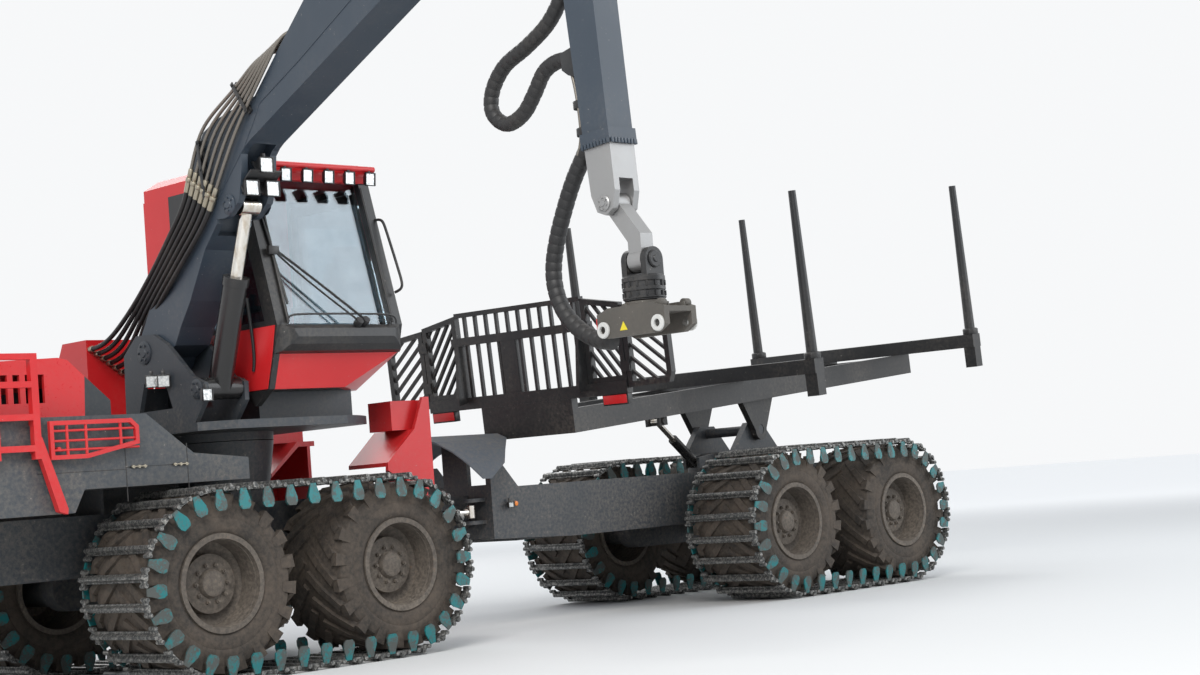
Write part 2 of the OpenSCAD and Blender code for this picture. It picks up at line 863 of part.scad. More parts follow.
// Rounded bumper below the windscreen
module cab_bumper() {
    low = 2200;
    base_s = cab_front + 80 + (low - 2190) * (cab_sill_s - cab_front - 80) / (cab_sill - 2190);
    nose_r = 150;
    nose_s = cab_sill_s + 62 - nose_r;
    color([0.10, 0.11, 0.12])
        turned()
            intersection() {
                upright(cab_side - cab_w / 2, cab_w)
                    polygon([[base_s + seat_gap, low], [cab_sill_s, low + 15], [cab_sill_s + 45, low + 60],
                        [cab_sill_s + 62, low + 110], [cab_sill_s + 55, low + 170],
                        [cab_sill_s + 20, cab_sill - 4], [cab_sill_s + seat_gap, cab_sill]]);
                translate([0, cab_side, low - 10])
                    linear_extrude(cab_sill - low + 20)
                        hull() {
                            translate([cab_front, -cab_w / 2])
                                square([90, cab_w]);
                            for (y = [-1, 1])
                                translate([nose_s, y * (cab_w / 2 - nose_r)])
                                    circle(r = nose_r);
                        }
            }
}

// Roof with chamfered edges, and the rail ahead of it that carries the lamps
module cab_roof() {
    z = cab_top + seat_gap;
    half = cab_w / 2 - 10;
    color([0.72, 0.09, 0.10])
        turned()
            translate([0, cab_side, 0]) {
                intersection() {
                    upright(-half, 2 * half)
                        polygon([[cab_s0, z], [cab_brow + 10, z], [cab_brow + 50, z + 45],
                            [cab_brow + 50, z + roof_t - 55], [cab_brow - 20, z + roof_t - 10],
                            [cab_s0 + 90, z + roof_t], [cab_s0, z + roof_t - 60]]);
                    translate([cab_s0 - 1, 0, 0])
                        rotate([90, 0, 90])
                            linear_extrude(cab_brow - cab_s0 + 60)
                                polygon([[-half, z - 1], [half, z - 1], [half, z + roof_t - 60],
                                    [half - 70, z + roof_t + 1], [-half + 70, z + roof_t + 1],
                                    [-half, z + roof_t - 60]]);
                }
                bar_y(visor_s, visor_z, visor_r, -visor_half, visor_half);
                both_sides()
                    upright(visor_half - 60, 40)
                        polygon([[cab_brow + 45, visor_z - 20], [visor_s, visor_z - 20],
                            [visor_s, visor_z + 20], [cab_brow + 45, visor_z + 20]]);
            }
}

module cab_glass() {
    right = cab_side - cab_w / 2;
    wide = cab_w - 2 * cab_t - 90;
    color([0.75, 0.82, 0.85, 0.35])
        turned() {
            upright(right + cab_t + 45 + seat_gap, wide - 2 * seat_gap)
                polygon([[cab_sill_s - 60, cab_sill + seat_gap], [cab_sill_s - 60 + pane_t, cab_sill + seat_gap],
                    [cab_brow - 60 + pane_t, cab_top], [cab_brow - 60, cab_top]]);
            upright(right + cab_t / 2, pane_t)
                polygon(side_window(seat_gap));
            block([cab_s0 + 20, rear_window(seat_gap)[0][0], rear_window(seat_gap)[0][1]],
                [cab_s0 + 20 + pane_t, rear_window(seat_gap)[1][0], rear_window(seat_gap)[1][1]]);
        }
}

module cab_door() {
    left = cab_side + cab_w / 2 - cab_t;
    color([0.08, 0.09, 0.10])
        turned() {
            door_knuckles(1, door_hinge_r);
            difference() {
                upright(left, cab_t)
                    polygon(door_outline(0));
                upright(left - 1, cab_t + 2)
                    polygon(side_window(0));
                corner_slab(-600, corner_t + side_gap);
                door_knuckles(0, door_hinge_r + 1.5);
            }
        }
}

module door_glass() {
    left = cab_side + cab_w / 2 - cab_t;
    color([0.75, 0.82, 0.85, 0.35])
        turned()
            upright(left + cab_t / 2, pane_t)
                polygon(side_window(seat_gap));
}

module cab_seat()
    color([0.50, 0.10, 0.10])
        turned() {
            block([150, cab_side - 150, cab_floor + 30], [500, cab_side + 150, cab_floor + 360]);
            block([100, cab_side - 260, cab_floor + 359], [620, cab_side + 260, cab_floor + 480]);
            upright(cab_side - 250, 500)
                polygon([[60, cab_floor + 470], [200, cab_floor + 479], [110, 3150], [-20, 3140]]);
        }

// Lamps hung below the visor rail, each a tapered housing on a short bracket
module work_lamps() {
    top = visor_z - visor_r - seat_gap;
    color([0.85, 0.85, 0.82])
        turned()
            translate([visor_s, cab_side, top])
                for (i = [0:5])
                    translate([0, -visor_half + 55 + i * (visor_half - 55) / 2.5, 0]) {
                        block([-12, -14, -20], [12, 14, 0]);
                        upright(-48, 96)
                            polygon([[-22, -18], [26, -18], [32, -30], [26, -112], [-10, -112],
                                [-40, -70]]);
                    }
}

// Crane

module main_boom() {
    lug_in = lift_r + side_gap + 2;
    plate_u = outer_foot_uv[0];
    color([0.14, 0.17, 0.20])
        at_pin(foot, boom_rest)
            difference() {
                union() {
                    mid_plate(boom_w) {
                        circle(r = 150);
                        translate([boom_len, 0])
                            circle(r = 135);
                        polygon([[-60, 137], [250, 262], [650, 425], [1050, 570], [1330, 730],
                            [1480, 775], [1640, 745], [2050, 575], [2300, 470],
                            [boom_len + 40, 150], [boom_len - 60, -150], [1844, 372],
                            [1760, 375], [1250, 230], [1207, 180], [986, 133], [627, -30],
                            [420, -100], [290, -158], [100, -120]]);
                    }
                    both_sides()
                        upright(lug_in, boom_w / 2 - lug_in)
                            polygon([[1180, 300], [1225, 205], [1300, 150], [1340, 135],
                                [1480, 135], [1530, 160], [1640, 265], [1735, 380], [1760, 450],
                                [1500, 500]]);
                    both_sides()
                        upright(boom_w / 2 - 40, 40)
                            polygon([[plate_u - 1300, 420], [plate_u - 1150, 560],
                                [plate_u - 750, 625], [plate_u - 300, 690], [plate_u - 100, 745],
                                [plate_u, 760], [plate_u + 100, 740], [plate_u + 200, 670],
                                [plate_u + 500, 400], [plate_u + 590, 260]]);
                    bar_y(outer_foot_uv[0], outer_foot_uv[1], 30, -boom_w / 2 + 1, boom_w / 2 - 1);
                }
                mid_plate(2 * lug_in)
                    polygon([[1083, 214], [1310, 325], [1533, 365], [1858, 505], [1712, -21],
                        [1214, -74]]);
                bar_y(0, 0, pin_r + pin_gap, -200, 200);
                bar_y(boom_len, 0, pin_r + pin_gap, -200, 200);
            }
}

// A cylinder barrel with its foot eye at the origin and its bore along X
module barrel(r, rod_r, len, foot_w, foot_r)
    difference() {
        union() {
            bar_y(0, 0, foot_r, -foot_w / 2, foot_w / 2);
            rotate([0, 90, 0])
                cylinder(r = r, h = len);
            translate([len - 60, 0, 0])
                rotate([0, 90, 0])
                    cylinder(r = r + 8, h = 60);
        }
        children();
        translate([foot_r + 20, 0, 0])
            rotate([0, 90, 0])
                cylinder(r = rod_r + pin_gap, h = len);
    }

// A cylinder rod with its eye at the far end, from x0 to x1 along X
module rod(rod_r, x0, x1, eye_r, eye_w) {
    translate([x0, 0, 0])
        rotate([0, 90, 0])
            cylinder(r = rod_r, h = x1 - x0);
    bar_y(x1, 0, eye_r, -eye_w / 2, eye_w / 2);
}

lift_len = norm(lift_eye - lift_foot);
lift_dir = atan2(lift_eye[1] - lift_foot[1], lift_eye[0] - lift_foot[0]);
lift_barrel_len = 800;
lift_rod_len = 820;

module lift_barrel()
    color([0.07, 0.07, 0.08])
        at_pin(lift_foot, lift_dir)
            barrel(lift_r, lift_rod_r, lift_barrel_len, 2 * ear_in - 12, 78)
                bar_y(0, 0, pin_r + pin_gap, -200, 200);

module lift_rod()
    color([0.78, 0.78, 0.76])
        at_pin(lift_foot, lift_dir)
            rod(lift_rod_r, lift_len - lift_rod_len, lift_len, 70, 150);

outer_len = norm(outer_eye - outer_foot);
outer_dir = atan2(outer_eye[1] - outer_foot[1], outer_eye[0] - outer_foot[0]);
outer_barrel_len = 1470;
outer_rod_len = 1420;

module outer_barrel()
    color([0.07, 0.07, 0.08])
        at_pin(outer_foot, outer_dir)
            barrel(outer_r, outer_rod_r, outer_barrel_len, 2 * outer_r - 12, 60)
                bar_y(0, 0, 30 + pin_gap, -200, 200);

module outer_rod()
    color([0.78, 0.78, 0.76])
        at_pin(outer_foot, outer_dir)
            rod(outer_rod_r, outer_len - outer_rod_len, outer_len, 55, 110);

module outer_boom()
    color([0.16, 0.20, 0.24])
        at_pin(tip, stick_rest)
            difference() {
                union() {
                    mid_plate(stick_w)
                        polygon([[500, -125], [stick_len, -102], [stick_len, 102], [500, 130]]);
                    translate([stick_len - 70, -stick_w / 2 - 12, -115])
                        cube([70, stick_w + 24, 230]);
                    both_sides()
                        upright(ear_in, ear_t)
                            polygon([[-440, -60], [-380, -70], [-60, -150], [150, -165], [420, -142],
                                [560, -90], [560, 95], [420, 146], [150, 160], [-60, 150],
                                [-380, 70], [-440, 60]]);
                    mid_plate(2 * ear_in + 2)
                        polygon([[270, 20], [400, -55], [510, -128], [600, -123], [600, 128],
                            [430, 146], [270, 140]]);
                    bar_y(0, 0, pin_r, -ear_in - 1, ear_in + 1);
                }
                difference() {
                    translate([500, -stick_w / 2 + stick_t, -cavity_h / 2])
                        cube([stick_len, stick_w - 2 * stick_t, cavity_h]);
                    both_sides()
                        for (x = [stick_len - 420, stick_len - 120])
                            translate([x, -stick_w / 2, -70])
                                cube([100, stick_t + move_gap - seat_gap, 140]);
                }
            }

module extension()
    color([0.55, 0.56, 0.56])
        at_pin(tip, stick_rest) {
            w = stick_w - 2 * stick_t - 2 * move_gap;
            h = cavity_h - 2 * move_gap;
            tail = stick_len - 470 - ext_stroke;
            difference() {
                union() {
                    translate([tail, -w / 2, -h / 2])
                        cube([tip_x - 240 - tail, w, h]);
                    mid_plate(stick_w)
                        polygon([[stick_len + move_gap, -102], [tip_x - 60, -95], [tip_x + 40, -62],
                            [tip_x + 70, 0], [tip_x + 40, 62], [tip_x - 60, 95],
                            [stick_len + move_gap, 102]]);
                }
                translate([tip_x - 130, -56, -200])
                    cube([300, 112, 400]);
            }
            bar_y(tip_x, 0, 32, -57, 57);
        }

// Hanging link: an eye on the tip pin and a crossed eye below
module hanging_link() {
    upper = [for (v = [50, -50]) tip_pin + turn(link_dir, [20, v])];
    color([0.45, 0.46, 0.46])
        difference() {
            union() {
                crane() {
                    bar_y(tip_pin[0], tip_pin[1], 62, -50, 50);
                    mid_plate(100)
                        polygon([
                            [upper[0][0], upper[0][1]],
                            [cross_pin[0] + 50, cross_pin[1] + 150],
                            [cross_pin[0] + 50, cross_pin[1] + 30],
                            [cross_pin[0] - 50, cross_pin[1] + 30],
                            [cross_pin[0] - 50, cross_pin[1] + 110],
                            [upper[1][0], upper[1][1]]
                        ]);
                }
                at_pin(cross_pin, hang_dir)
                    cylinder(r = 68, h = 100, center = true);
            }
            at_pin(tip_pin, link_dir)
                bar_y(0, 0, 32 + pin_gap, -80, 80);
            at_pin(cross_pin, hang_dir)
                cylinder(r = 32 + pin_gap, h = 200, center = true);
        }
}

// Rotator hung on the crossed pin, its axis straight down
module rotator_head()
    color([0.12, 0.12, 0.13])
        at_pin(cross_pin, hang_dir) {
            for (s = [1, -1])
                translate([0, 0, s > 0 ? 56 : -96])
                    linear_extrude(40) {
                        circle(r = 70);
                        translate([0, -70])
                            square([130, 140]);
                    }
            cylinder(r = 32, h = 114, center = true);
            translate([85, 0, 0])
                rotate([0, 90, 0])
                    cylinder(r = rotator_r, h = rotator_h - 60);
            translate([25 + rotator_h, 0, 0])
                rotate([0, 90, 0])
                    cylinder(r = 50, h = 50);
        }

module quick_hitch()
    color([0.30, 0.27, 0.23])
        at_pin(cross_pin, hang_dir)
            difference() {
                union() {
                    translate([25 + rotator_h + side_gap, 0, 0])
                        rotate([0, 90, 0])
                            cylinder(r = rotator_r, h = 60);
                    translate([25 + rotator_h + side_gap + 50, -hitch_w / 2, -hitch_len / 2])
                        cube([30, hitch_w, hitch_len]);
                    for (y = [-hitch_w / 2, hitch_w / 2 - 40])
                        translate([25 + rotator_h + side_gap, 0, 0])
                            upright(y, 40)
                                polygon([[20, -hitch_len / 2 + 90], [50, -hitch_len / 2],
                                    [150, -hitch_len / 2], [189, -hitch_len / 2 + 70],
                                    [189, hitch_len / 2 - 70], [150, hitch_len / 2],
                                    [50, hitch_len / 2], [20, hitch_len / 2 - 90]]);
                }
                translate([20 + rotator_h, 0, 0])
                    rotate([0, 90, 0])
                        cylinder(r = 50 + pin_gap, h = 56);
                for (z = [-1, 1])
                    translate([25 + rotator_h + side_gap + 140, -hitch_w, z * (hitch_len / 2 - 50)])
                        rotate([-90, 0, 0])
                            cylinder(r = hitch_bore_r, h = 2 * hitch_w);
            }

// Rear frame

module rear_frame() {
    beam_y = rear_w / 2 - beam_t;
    x0 = -artic_x - rear_neck;
    x1 = -wheelbase - rear_over;
    lug = [chassis_z + 70 + side_gap, 70];
    color([0.12, 0.13, 0.14])
        machine() {
            both_sides()
                upright(beam_y, beam_t)
                    polygon([[x0, 740], [x0, 1350], [x0 - 130, 1350], [x0 - 300, rear_top],
                        [x1, rear_top], [x1, rear_top - 330], [x1 + 200, chassis_z],
                        [-wheelbase + 320, chassis_z], [-wheelbase + 560, 700], [x0 - 900, 700]]);
            block([x0 - 40, -beam_y - 1, 745], [x0, beam_y + 1, 1180]);
            block([x0 - 40, -150, 1179], [x0, 150, drape_z - 12 - seat_gap]);
            block([-wheelbase + 700, -beam_y - 1, 705], [x0 - 300, beam_y + 1, 725]);
            block([x1, -beam_y - 1, rear_top - 320], [x1 + 40, beam_y + 1, rear_top]);
            block([-wheelbase - 480, -beam_y - 1, rear_top - 40], [-wheelbase + 480, beam_y + 1, rear_top]);
            difference() {
                translate([-wheelbase, 0, rear_top - 1])
                    cylinder(r = 410, h = 101);
                translate([-wheelbase, 0, rear_top + 20])
                    cylinder(r = 300, h = 100);
            }
            for (z = [lug[0], frame_top - 70 - side_gap - lug[1]])
                translate([-artic_x, 0, z])
                    linear_extrude(lug[1]) {
                        circle(r = 140);
                        translate([-rear_neck - 1, -140])
                            square([rear_neck + 1, 280]);
                    }
            block([x0 - 1, -140, lug[0]], [-artic_x - 190, 140, frame_top - 70 - side_gap]);
            translate([-artic_x, 0, chassis_z - 20])
                cylinder(r = artic_pin_r, h = chassis_h + 40);
            both_sides()
                for (z = [mid_z - 105, mid_z + 75])
                    translate([steer_eye_x, steer_y, z])
                        linear_extrude(30) {
                            circle(r = 60);
                            translate([x0 - steer_eye_x - 1, -60])
                                square([steer_eye_x - x0 + 1, 120]);
                        }
        }
}

// Section of the drape across the machine, lowered by t
function drape(t) = [[610, drape_z - 360 - t], [520, drape_z - 240 - t], [420, drape_z - 135 - t],
    [300, drape_z - 50 - t], [170, drape_z - t], [-170, drape_z - t], [-300, drape_z - 50 - t],
    [-420, drape_z - 135 - t], [-520, drape_z - 240 - t], [-610, drape_z - 360 - t]];

module mudguard() {
    plate_x = -artic_x - rear_neck;
    half = [[490, 240], [370, 430], [220, 640], [-90, 520], [-350, 280]];
    color([0.35, 0.38, 0.40])
        machine()
            translate([plate_x, 0, 0])
                intersection() {
                    translate([-450, 0, 0])
                        rotate([90, 0, 90])
                            linear_extrude(1100)
                                polygon(concat(drape(0), [for (i = [9:-1:0]) drape(12)[i]]));
                    translate([0, 0, drape_z - 500])
                        linear_extrude(800)
                            polygon(concat(half, [for (i = [4:-1:0]) [half[i][0], -half[i][1]]]));
                }
}

// Load bed

module bed_tower()
    color([0.09, 0.10, 0.11])
        machine()
            translate([-wheelbase, 0, 0])
                rotate([0, 0, bed_turn]) {
                    translate([0, 0, rear_top + 100 + side_gap])
                        cylinder(r = 410, h = 60);
                    translate([0, 0, rear_top + 40])
                        cylinder(r = 300 - pin_gap, h = 80);
                    both_sides()
                        upright(240, 60)
                            polygon([[-380, rear_top + 165], [380, rear_top + 165], [120, tilt_z + 70],
                                [-120, tilt_z + 70]]);
                    bar_y(0, tilt_z, 45, -362, 362);
                    block([340, -241, rear_top + 107], [380, 241, rear_top + 165]);
                    both_sides()
                        upright(60, 30)
                            polygon([[340, rear_top + 165], [660, rear_top + 130],
                                [660, rear_top + 30], [420, rear_top + 107], [340, rear_top + 107]]);
                    bar_y(tilt_foot[0], tilt_z + tilt_foot[1], 20, -89, 89);
                }

module bed_floor()
    color([0.09, 0.10, 0.11])
        bed() {
            both_sides()
                block([-bed_rear - 120, bed_beam_y, beam_low], [bed_front, bed_beam_y + 100, beam_high]);
            both_sides()
                upright(50, 30)
                    polygon([[tilt_eye_uv[0] - 60, beam_low + 30], [tilt_eye_uv[0] - 60, tilt_eye_uv[1] - 40],
                        [tilt_eye_uv[0] + 60, tilt_eye_uv[1] - 40], [tilt_eye_uv[0] + 60, beam_low + 30]]);
            both_sides()
                bar_y(tilt_eye_uv[0], tilt_eye_uv[1], 30, 80, 95);
            for (u = [-bed_rear, bed_mid, tilt_eye_uv[0], bed_front - 300])
                block([u - 60, -bed_beam_y - 1, beam_low + 20], [u + 60, bed_beam_y + 1, beam_high - 20]);
            block([bed_front - 1, -bed_beam_y - 100, beam_low], [bed_front + 80, bed_beam_y + 100, head_low]);
            both_sides()
                difference() {
                    upright(306, 60) {
                        circle(r = 95);
                        polygon([[-95, 0], [95, 0], [300, beam_low + 60], [-300, beam_low + 60]]);
                    }
                    bar_y(0, 0, 45 + pin_gap, 200, 500);
                }
            both_sides()
                block([-300, 305, beam_low], [300, bed_beam_y + 1, beam_low + 60]);
        }

module stakes()
    color([0.08, 0.09, 0.10])
        bed()
            for (u = [-bed_rear, bed_mid]) {
                block([u - 80, -stake_gauge / 2 - 60, beam_high + seat_gap],
                    [u + 80, stake_gauge / 2 + 60, beam_high + 130]);
                both_sides() {
                    block([u - 65, stake_gauge / 2 - 60, beam_low], [u + 65, stake_gauge / 2 + 60, beam_high + 131]);
                    translate([u, stake_gauge / 2, beam_high + 130])
                        cylinder(r1 = 52, r2 = 34, h = stake_h - beam_high + beam_low - 130);
                }
            }

// A plate drawn in Y and Z, with its thickness along X from x
module across(x, t)
    translate([x, 0, 0])
        rotate([90, 0, 90])
            linear_extrude(t)
                children();

// Slats of width w that rise towards the centre at an angle, for one side
module slats(angle, w, pitch, count)
    for (i = [0:count - 1])
        translate([0, i * pitch])
            rotate(-angle)
                translate([-400, 0])
                    square([2400, w]);

// Grille behind the crane: a centre panel with upright slats, an inner panel and a bolted wing a side
module headboard() {
    base = head_low + 100;
    rail = base + head_h;
    panel_y = 670;
    wing_y = 1060;
    edge = head_w / 2;
    inner = [[panel_y, base - 1], [wing_y - 8, base - 1], [wing_y - 8, rail - 90],
        [panel_y, rail - 20]];
    wing = [[wing_y, base - 60], [edge - 30, base - 50], [edge, base + 30], [edge, rail - 240],
        [edge - 100, rail - 150], [wing_y, rail - 110]];
    color([0.08, 0.09, 0.10])
        bed()
            translate([bed_front + seat_gap, 0, 0]) {
                block([0, -wing_y + 8, head_low + seat_gap], [80, wing_y - 8, base]);
                block([5, -panel_y - 60, rail - 280], [75, panel_y + 60, rail - 210]);
                block([10, -panel_y, rail - 40], [70, panel_y, rail]);
                block([10, -200, base - 1], [70, -40, rail - 279]);
                for (i = [-5:5])
                    block([25, i * 116 - 13, base - 1], [55, i * 116 + 13, rail - 39]);
                both_sides() {
                    upright(panel_y - 45, 30)
                        polygon([[10, base + seat_gap], [80 + seat_gap, base + seat_gap],
                            [80 + seat_gap, base - 45], [185, base - 60], [185, base],
                            [110, rail - 280 - seat_gap], [10, rail - 280 - seat_gap]]);
                    across(5, 60)
                        difference() {
                            polygon(inner);
                            offset(delta = -45)
                                polygon(inner);
                        }
                    across(20, 30)
                        intersection() {
                            polygon(inner);
                            translate([panel_y, base + 60])
                                slats(54, 22, 118, 9);
                        }
                    across(5, 60)
                        difference() {
                            polygon(wing);
                            offset(delta = -45)
                                polygon(wing);
                        }
                    across(20, 30)
                        intersection() {
                            polygon(wing);
                            translate([wing_y, base + 90])
                                slats(40, 22, 108, 8);
                        }
                    for (z = [base + 70, rail - 300]) {
                        block([64, wing_y - 45, z], [80, wing_y - 8, z + 90]);
                        block([65 + seat_gap, wing_y - 9, z], [80, wing_y + 40, z + 90]);
                    }
                }
            }
}

// Places pieces at the foot of the tilt cylinder, with x along it
module at_tilt()
    machine()
        translate([-wheelbase, 0, tilt_z])
            rotate([0, 0, bed_turn])
                translate([tilt_foot[0], 0, tilt_foot[1]])
                    rotate([0, -tilt_dir, 0])
                        children();

module tilt_barrel()
    color([0.07, 0.07, 0.08])
        at_tilt()
            difference() {
                union() {
                    bar_y(0, 0, 40, -50, 50);
                    rotate([0, 90, 0])
                        cylinder(r = 45, h = 400);
                }
                bar_y(0, 0, 20 + pin_gap, -60, 60);
                translate([60, 0, 0])
                    rotate([0, 90, 0])
                        cylinder(r = 25 + pin_gap, h = 430);
            }

module tilt_rod()
    color([0.78, 0.78, 0.76])
        at_tilt()
            rod(25, tilt_len - 470, tilt_len, 40, 80);

// Steering cylinders

steer_len = steer_foot_x - steer_eye_x;

// Places pieces at a steering cylinder's foot, with x running back to the rear frame
module at_steer(side)
    machine()
        translate([steer_foot_x, side * steer_y, mid_z])
            rotate([90, 0, 180])
                children();

module steer_barrel(side)
    color([0.07, 0.07, 0.08])
        at_steer(side)
            barrel(steer_r, 28, 540, 130, 50)
                bar_y(0, 0, 30 + pin_gap, -100, 100);

module steer_rod(side)
    color([0.78, 0.78, 0.76])
        at_steer(side)
            rod(28, steer_len - 600, steer_len, 45, 100);

front_frame();
bogie_axle(0, chassis_z, chassis_w / 2 - beam_t);  // front_bogies
engine();
side_hull();  // hull
bonnet();
nose_guard();
side_guards();
rear_steps();
rims(0);  // front_rims
tyres(0);  // front_tyres
tracks(0);  // front_tracks
slew_platform();
tail_box();
cab_frame();
cab_rear();
cab_roof();
cab_apron();
cab_bumper();
cab_glass();
cab_door();
door_glass();
cab_seat();
work_lamps();
main_boom();
lift_barrel();
lift_rod();
outer_boom();
outer_barrel();
outer_rod();
extension();
hanging_link();
rotator_head();
quick_hitch();
rear_frame();
mudguard();
bogie_axle(-wheelbase, chassis_z, rear_w / 2 - beam_t);  // rear_bogies
rims(-wheelbase);  // rear_rims
tyres(-wheelbase);  // rear_tyres
tracks(-wheelbase);  // rear_tracks
bed_tower();
bed_floor();
headboard();
stakes();
tilt_barrel();
tilt_rod();
steer_barrel(1);  // steer_barrel_left
steer_rod(1);  // steer_rod_left
steer_barrel(-1);  // steer_barrel_right
steer_rod(-1);  // steer_rod_right
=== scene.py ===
# %% [markdown]
# A forestry forwarder in Blender
#
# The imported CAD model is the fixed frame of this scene. It stands on Z = 0, with X towards the
# machine's front and Y to its left, in metres. Each cell below adds one piece or one finish, and
# says what it is on the real machine and why it is made the way it is.

import math

import bmesh
import bpy
from mathutils import Matrix, Vector


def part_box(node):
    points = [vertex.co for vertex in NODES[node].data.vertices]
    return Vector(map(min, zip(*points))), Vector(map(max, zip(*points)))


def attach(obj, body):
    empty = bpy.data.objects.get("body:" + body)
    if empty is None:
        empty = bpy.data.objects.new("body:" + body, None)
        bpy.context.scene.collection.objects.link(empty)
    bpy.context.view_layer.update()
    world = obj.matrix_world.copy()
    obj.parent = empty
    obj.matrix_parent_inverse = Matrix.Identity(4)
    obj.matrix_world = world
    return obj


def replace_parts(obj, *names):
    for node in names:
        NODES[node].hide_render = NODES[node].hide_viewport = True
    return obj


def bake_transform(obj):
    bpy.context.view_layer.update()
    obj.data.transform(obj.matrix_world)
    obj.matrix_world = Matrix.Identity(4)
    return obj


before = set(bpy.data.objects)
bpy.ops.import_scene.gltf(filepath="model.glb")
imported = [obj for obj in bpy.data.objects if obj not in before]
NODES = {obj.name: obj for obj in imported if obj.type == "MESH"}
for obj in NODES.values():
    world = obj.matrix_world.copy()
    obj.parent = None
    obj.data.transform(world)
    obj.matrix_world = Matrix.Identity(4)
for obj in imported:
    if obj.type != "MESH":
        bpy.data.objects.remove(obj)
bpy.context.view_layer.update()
SCENE = bpy.context.scene

# %% [markdown]
# The camera comes first, because everything else is judged through it. It stands low, ahead of the
# machine and to its left. A measuring fit against the wheels gave its place from the middle of the
# front wheels, so the place is worked out from the tyres' own box.

# %% The camera
low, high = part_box("front_tyres")
FRONT = Vector(((low.x + high.x) / 2, (low.y + high.y) / 2, 0.0))
CAMERA_PLACE = FRONT + Vector((8.92, 13.121, 1.162))
YAW, PITCH, ROLL = (math.radians(a) for a in (-135.38, 3.82, 4.45))

ahead = Vector((math.cos(PITCH) * math.cos(YAW), math.cos(PITCH) * math.sin(YAW), math.sin(PITCH)))
across = Vector((math.sin(YAW), -math.cos(YAW), 0.0))
above = across.cross(ahead)
tilted_across = across * math.cos(ROLL) - above * math.sin(ROLL)
tilted_above = across * math.sin(ROLL) + above * math.cos(ROLL)

camera_data = bpy.data.cameras.new("camera")
camera_data.sensor_width = 36.0
camera_data.lens = 63.0
camera_data.clip_end = 200.0
camera = bpy.data.objects.new("camera", camera_data)
axes = Matrix((tilted_across, tilted_above, -ahead)).transposed()
camera.matrix_world = Matrix.Translation(CAMERA_PLACE) @ axes.to_4x4()
SCENE.collection.objects.link(camera)
SCENE.camera = camera
print("camera at", [round(v, 3) for v in CAMERA_PLACE])

# %% [markdown]
# Shader maths reads best as plain sums. The class below wraps a socket, so that a * b or 1 - a
# adds the Math node itself. Every other node comes from one method of the finish, which takes the
# node's type, the values or links of its sockets, and its settings.

# %% Shader expressions
class Wire:
    """A socket that can be added, multiplied and compared like a number."""

    def __init__(self, finish, socket):
        self.finish = finish
        self.socket = socket

    def _math(self, operation, a, b):
        return self.finish.node("Math", {0: a, 1: b}, operation=operation)

    def __add__(self, other):
        return self._math("ADD", self, other)

    __radd__ = __add__

    def __rsub__(self, other):
        return self._math("SUBTRACT", other, self)

    def __mul__(self, other):
        return self._math("MULTIPLY", self, other)

    __rmul__ = __mul__

    def __lt__(self, other):
        return self._math("LESS_THAN", self, other)

    def least(self, other):
        return self._math("MINIMUM", self, other)


class Finish:
    """A material, or the world, whose nodes are added one by one."""

    def __init__(self, name, world=None):
        self.material = world or bpy.data.materials.new(name)
        self.material.use_nodes = True
        self.tree = self.material.node_tree
        self.shader = self.tree.nodes.get("Principled BSDF")

    def node(self, kind, inputs=None, output=0, **settings):
        made = self.tree.nodes.new("ShaderNode" + kind)
        for key, value in settings.items():
            setattr(made, key, value)
        for key, value in (inputs or {}).items():
            self.plug(made.inputs[key], value)
        return Wire(self, made.outputs[output])

    def plug(self, socket, value):
        if isinstance(value, Wire):
            self.tree.links.new(value.socket, socket)
        elif isinstance(value, (tuple, list)) and len(value) == 3 and socket.type == "RGBA":
            socket.default_value = (*value, 1.0)
        else:
            socket.default_value = value

    def set(self, **values):
        for key, value in values.items():
            self.plug(self.shader.inputs[key.replace("_", " ")], value)
        return self

    def place(self):
        return self.node("TexCoord", output=3)

    def parts(self, vector=None):
        """The X, Y and Z of a place as three wires."""
        split = self.tree.nodes.new("ShaderNodeSeparateXYZ")
        self.plug(split.inputs[0], vector or self.place())
        return [Wire(self, split.outputs[i]) for i in range(3)]

    def noise(self, scale, detail, rough, stretch=None):
        place = self.place()
        if stretch:
            place = self.node("Mapping", {"Vector": place, "Scale": stretch})
        return self.node("TexNoise", {"Vector": place, "Scale": scale, "Detail": detail,
                                      "Roughness": rough})

    def ramp(self, wire, lo, hi):
        """0 below lo, 1 above hi, smooth between."""
        return self.node("MapRange", {"Value": wire, "From Min": lo, "From Max": hi},
                         interpolation_type="SMOOTHSTEP")

    def mix(self, share, a, b):
        return self.node("Mix", {0: share, 6: a, 7: b}, output=2, data_type="RGBA")

    def bump(self, height, strength, distance):
        return self.node("Bump", {"Height": height, "Strength": strength, "Distance": distance})


# %% [markdown]
# Paint on a working machine is never one flat colour. Each paint below starts from its own colour,
# gets a slow change of tone, dust that gathers low down and on top faces, and small chips.
# Everything is read from Object coordinates, which are the machine's own metres.

# %% Paints
DUST = (0.30, 0.255, 0.205)


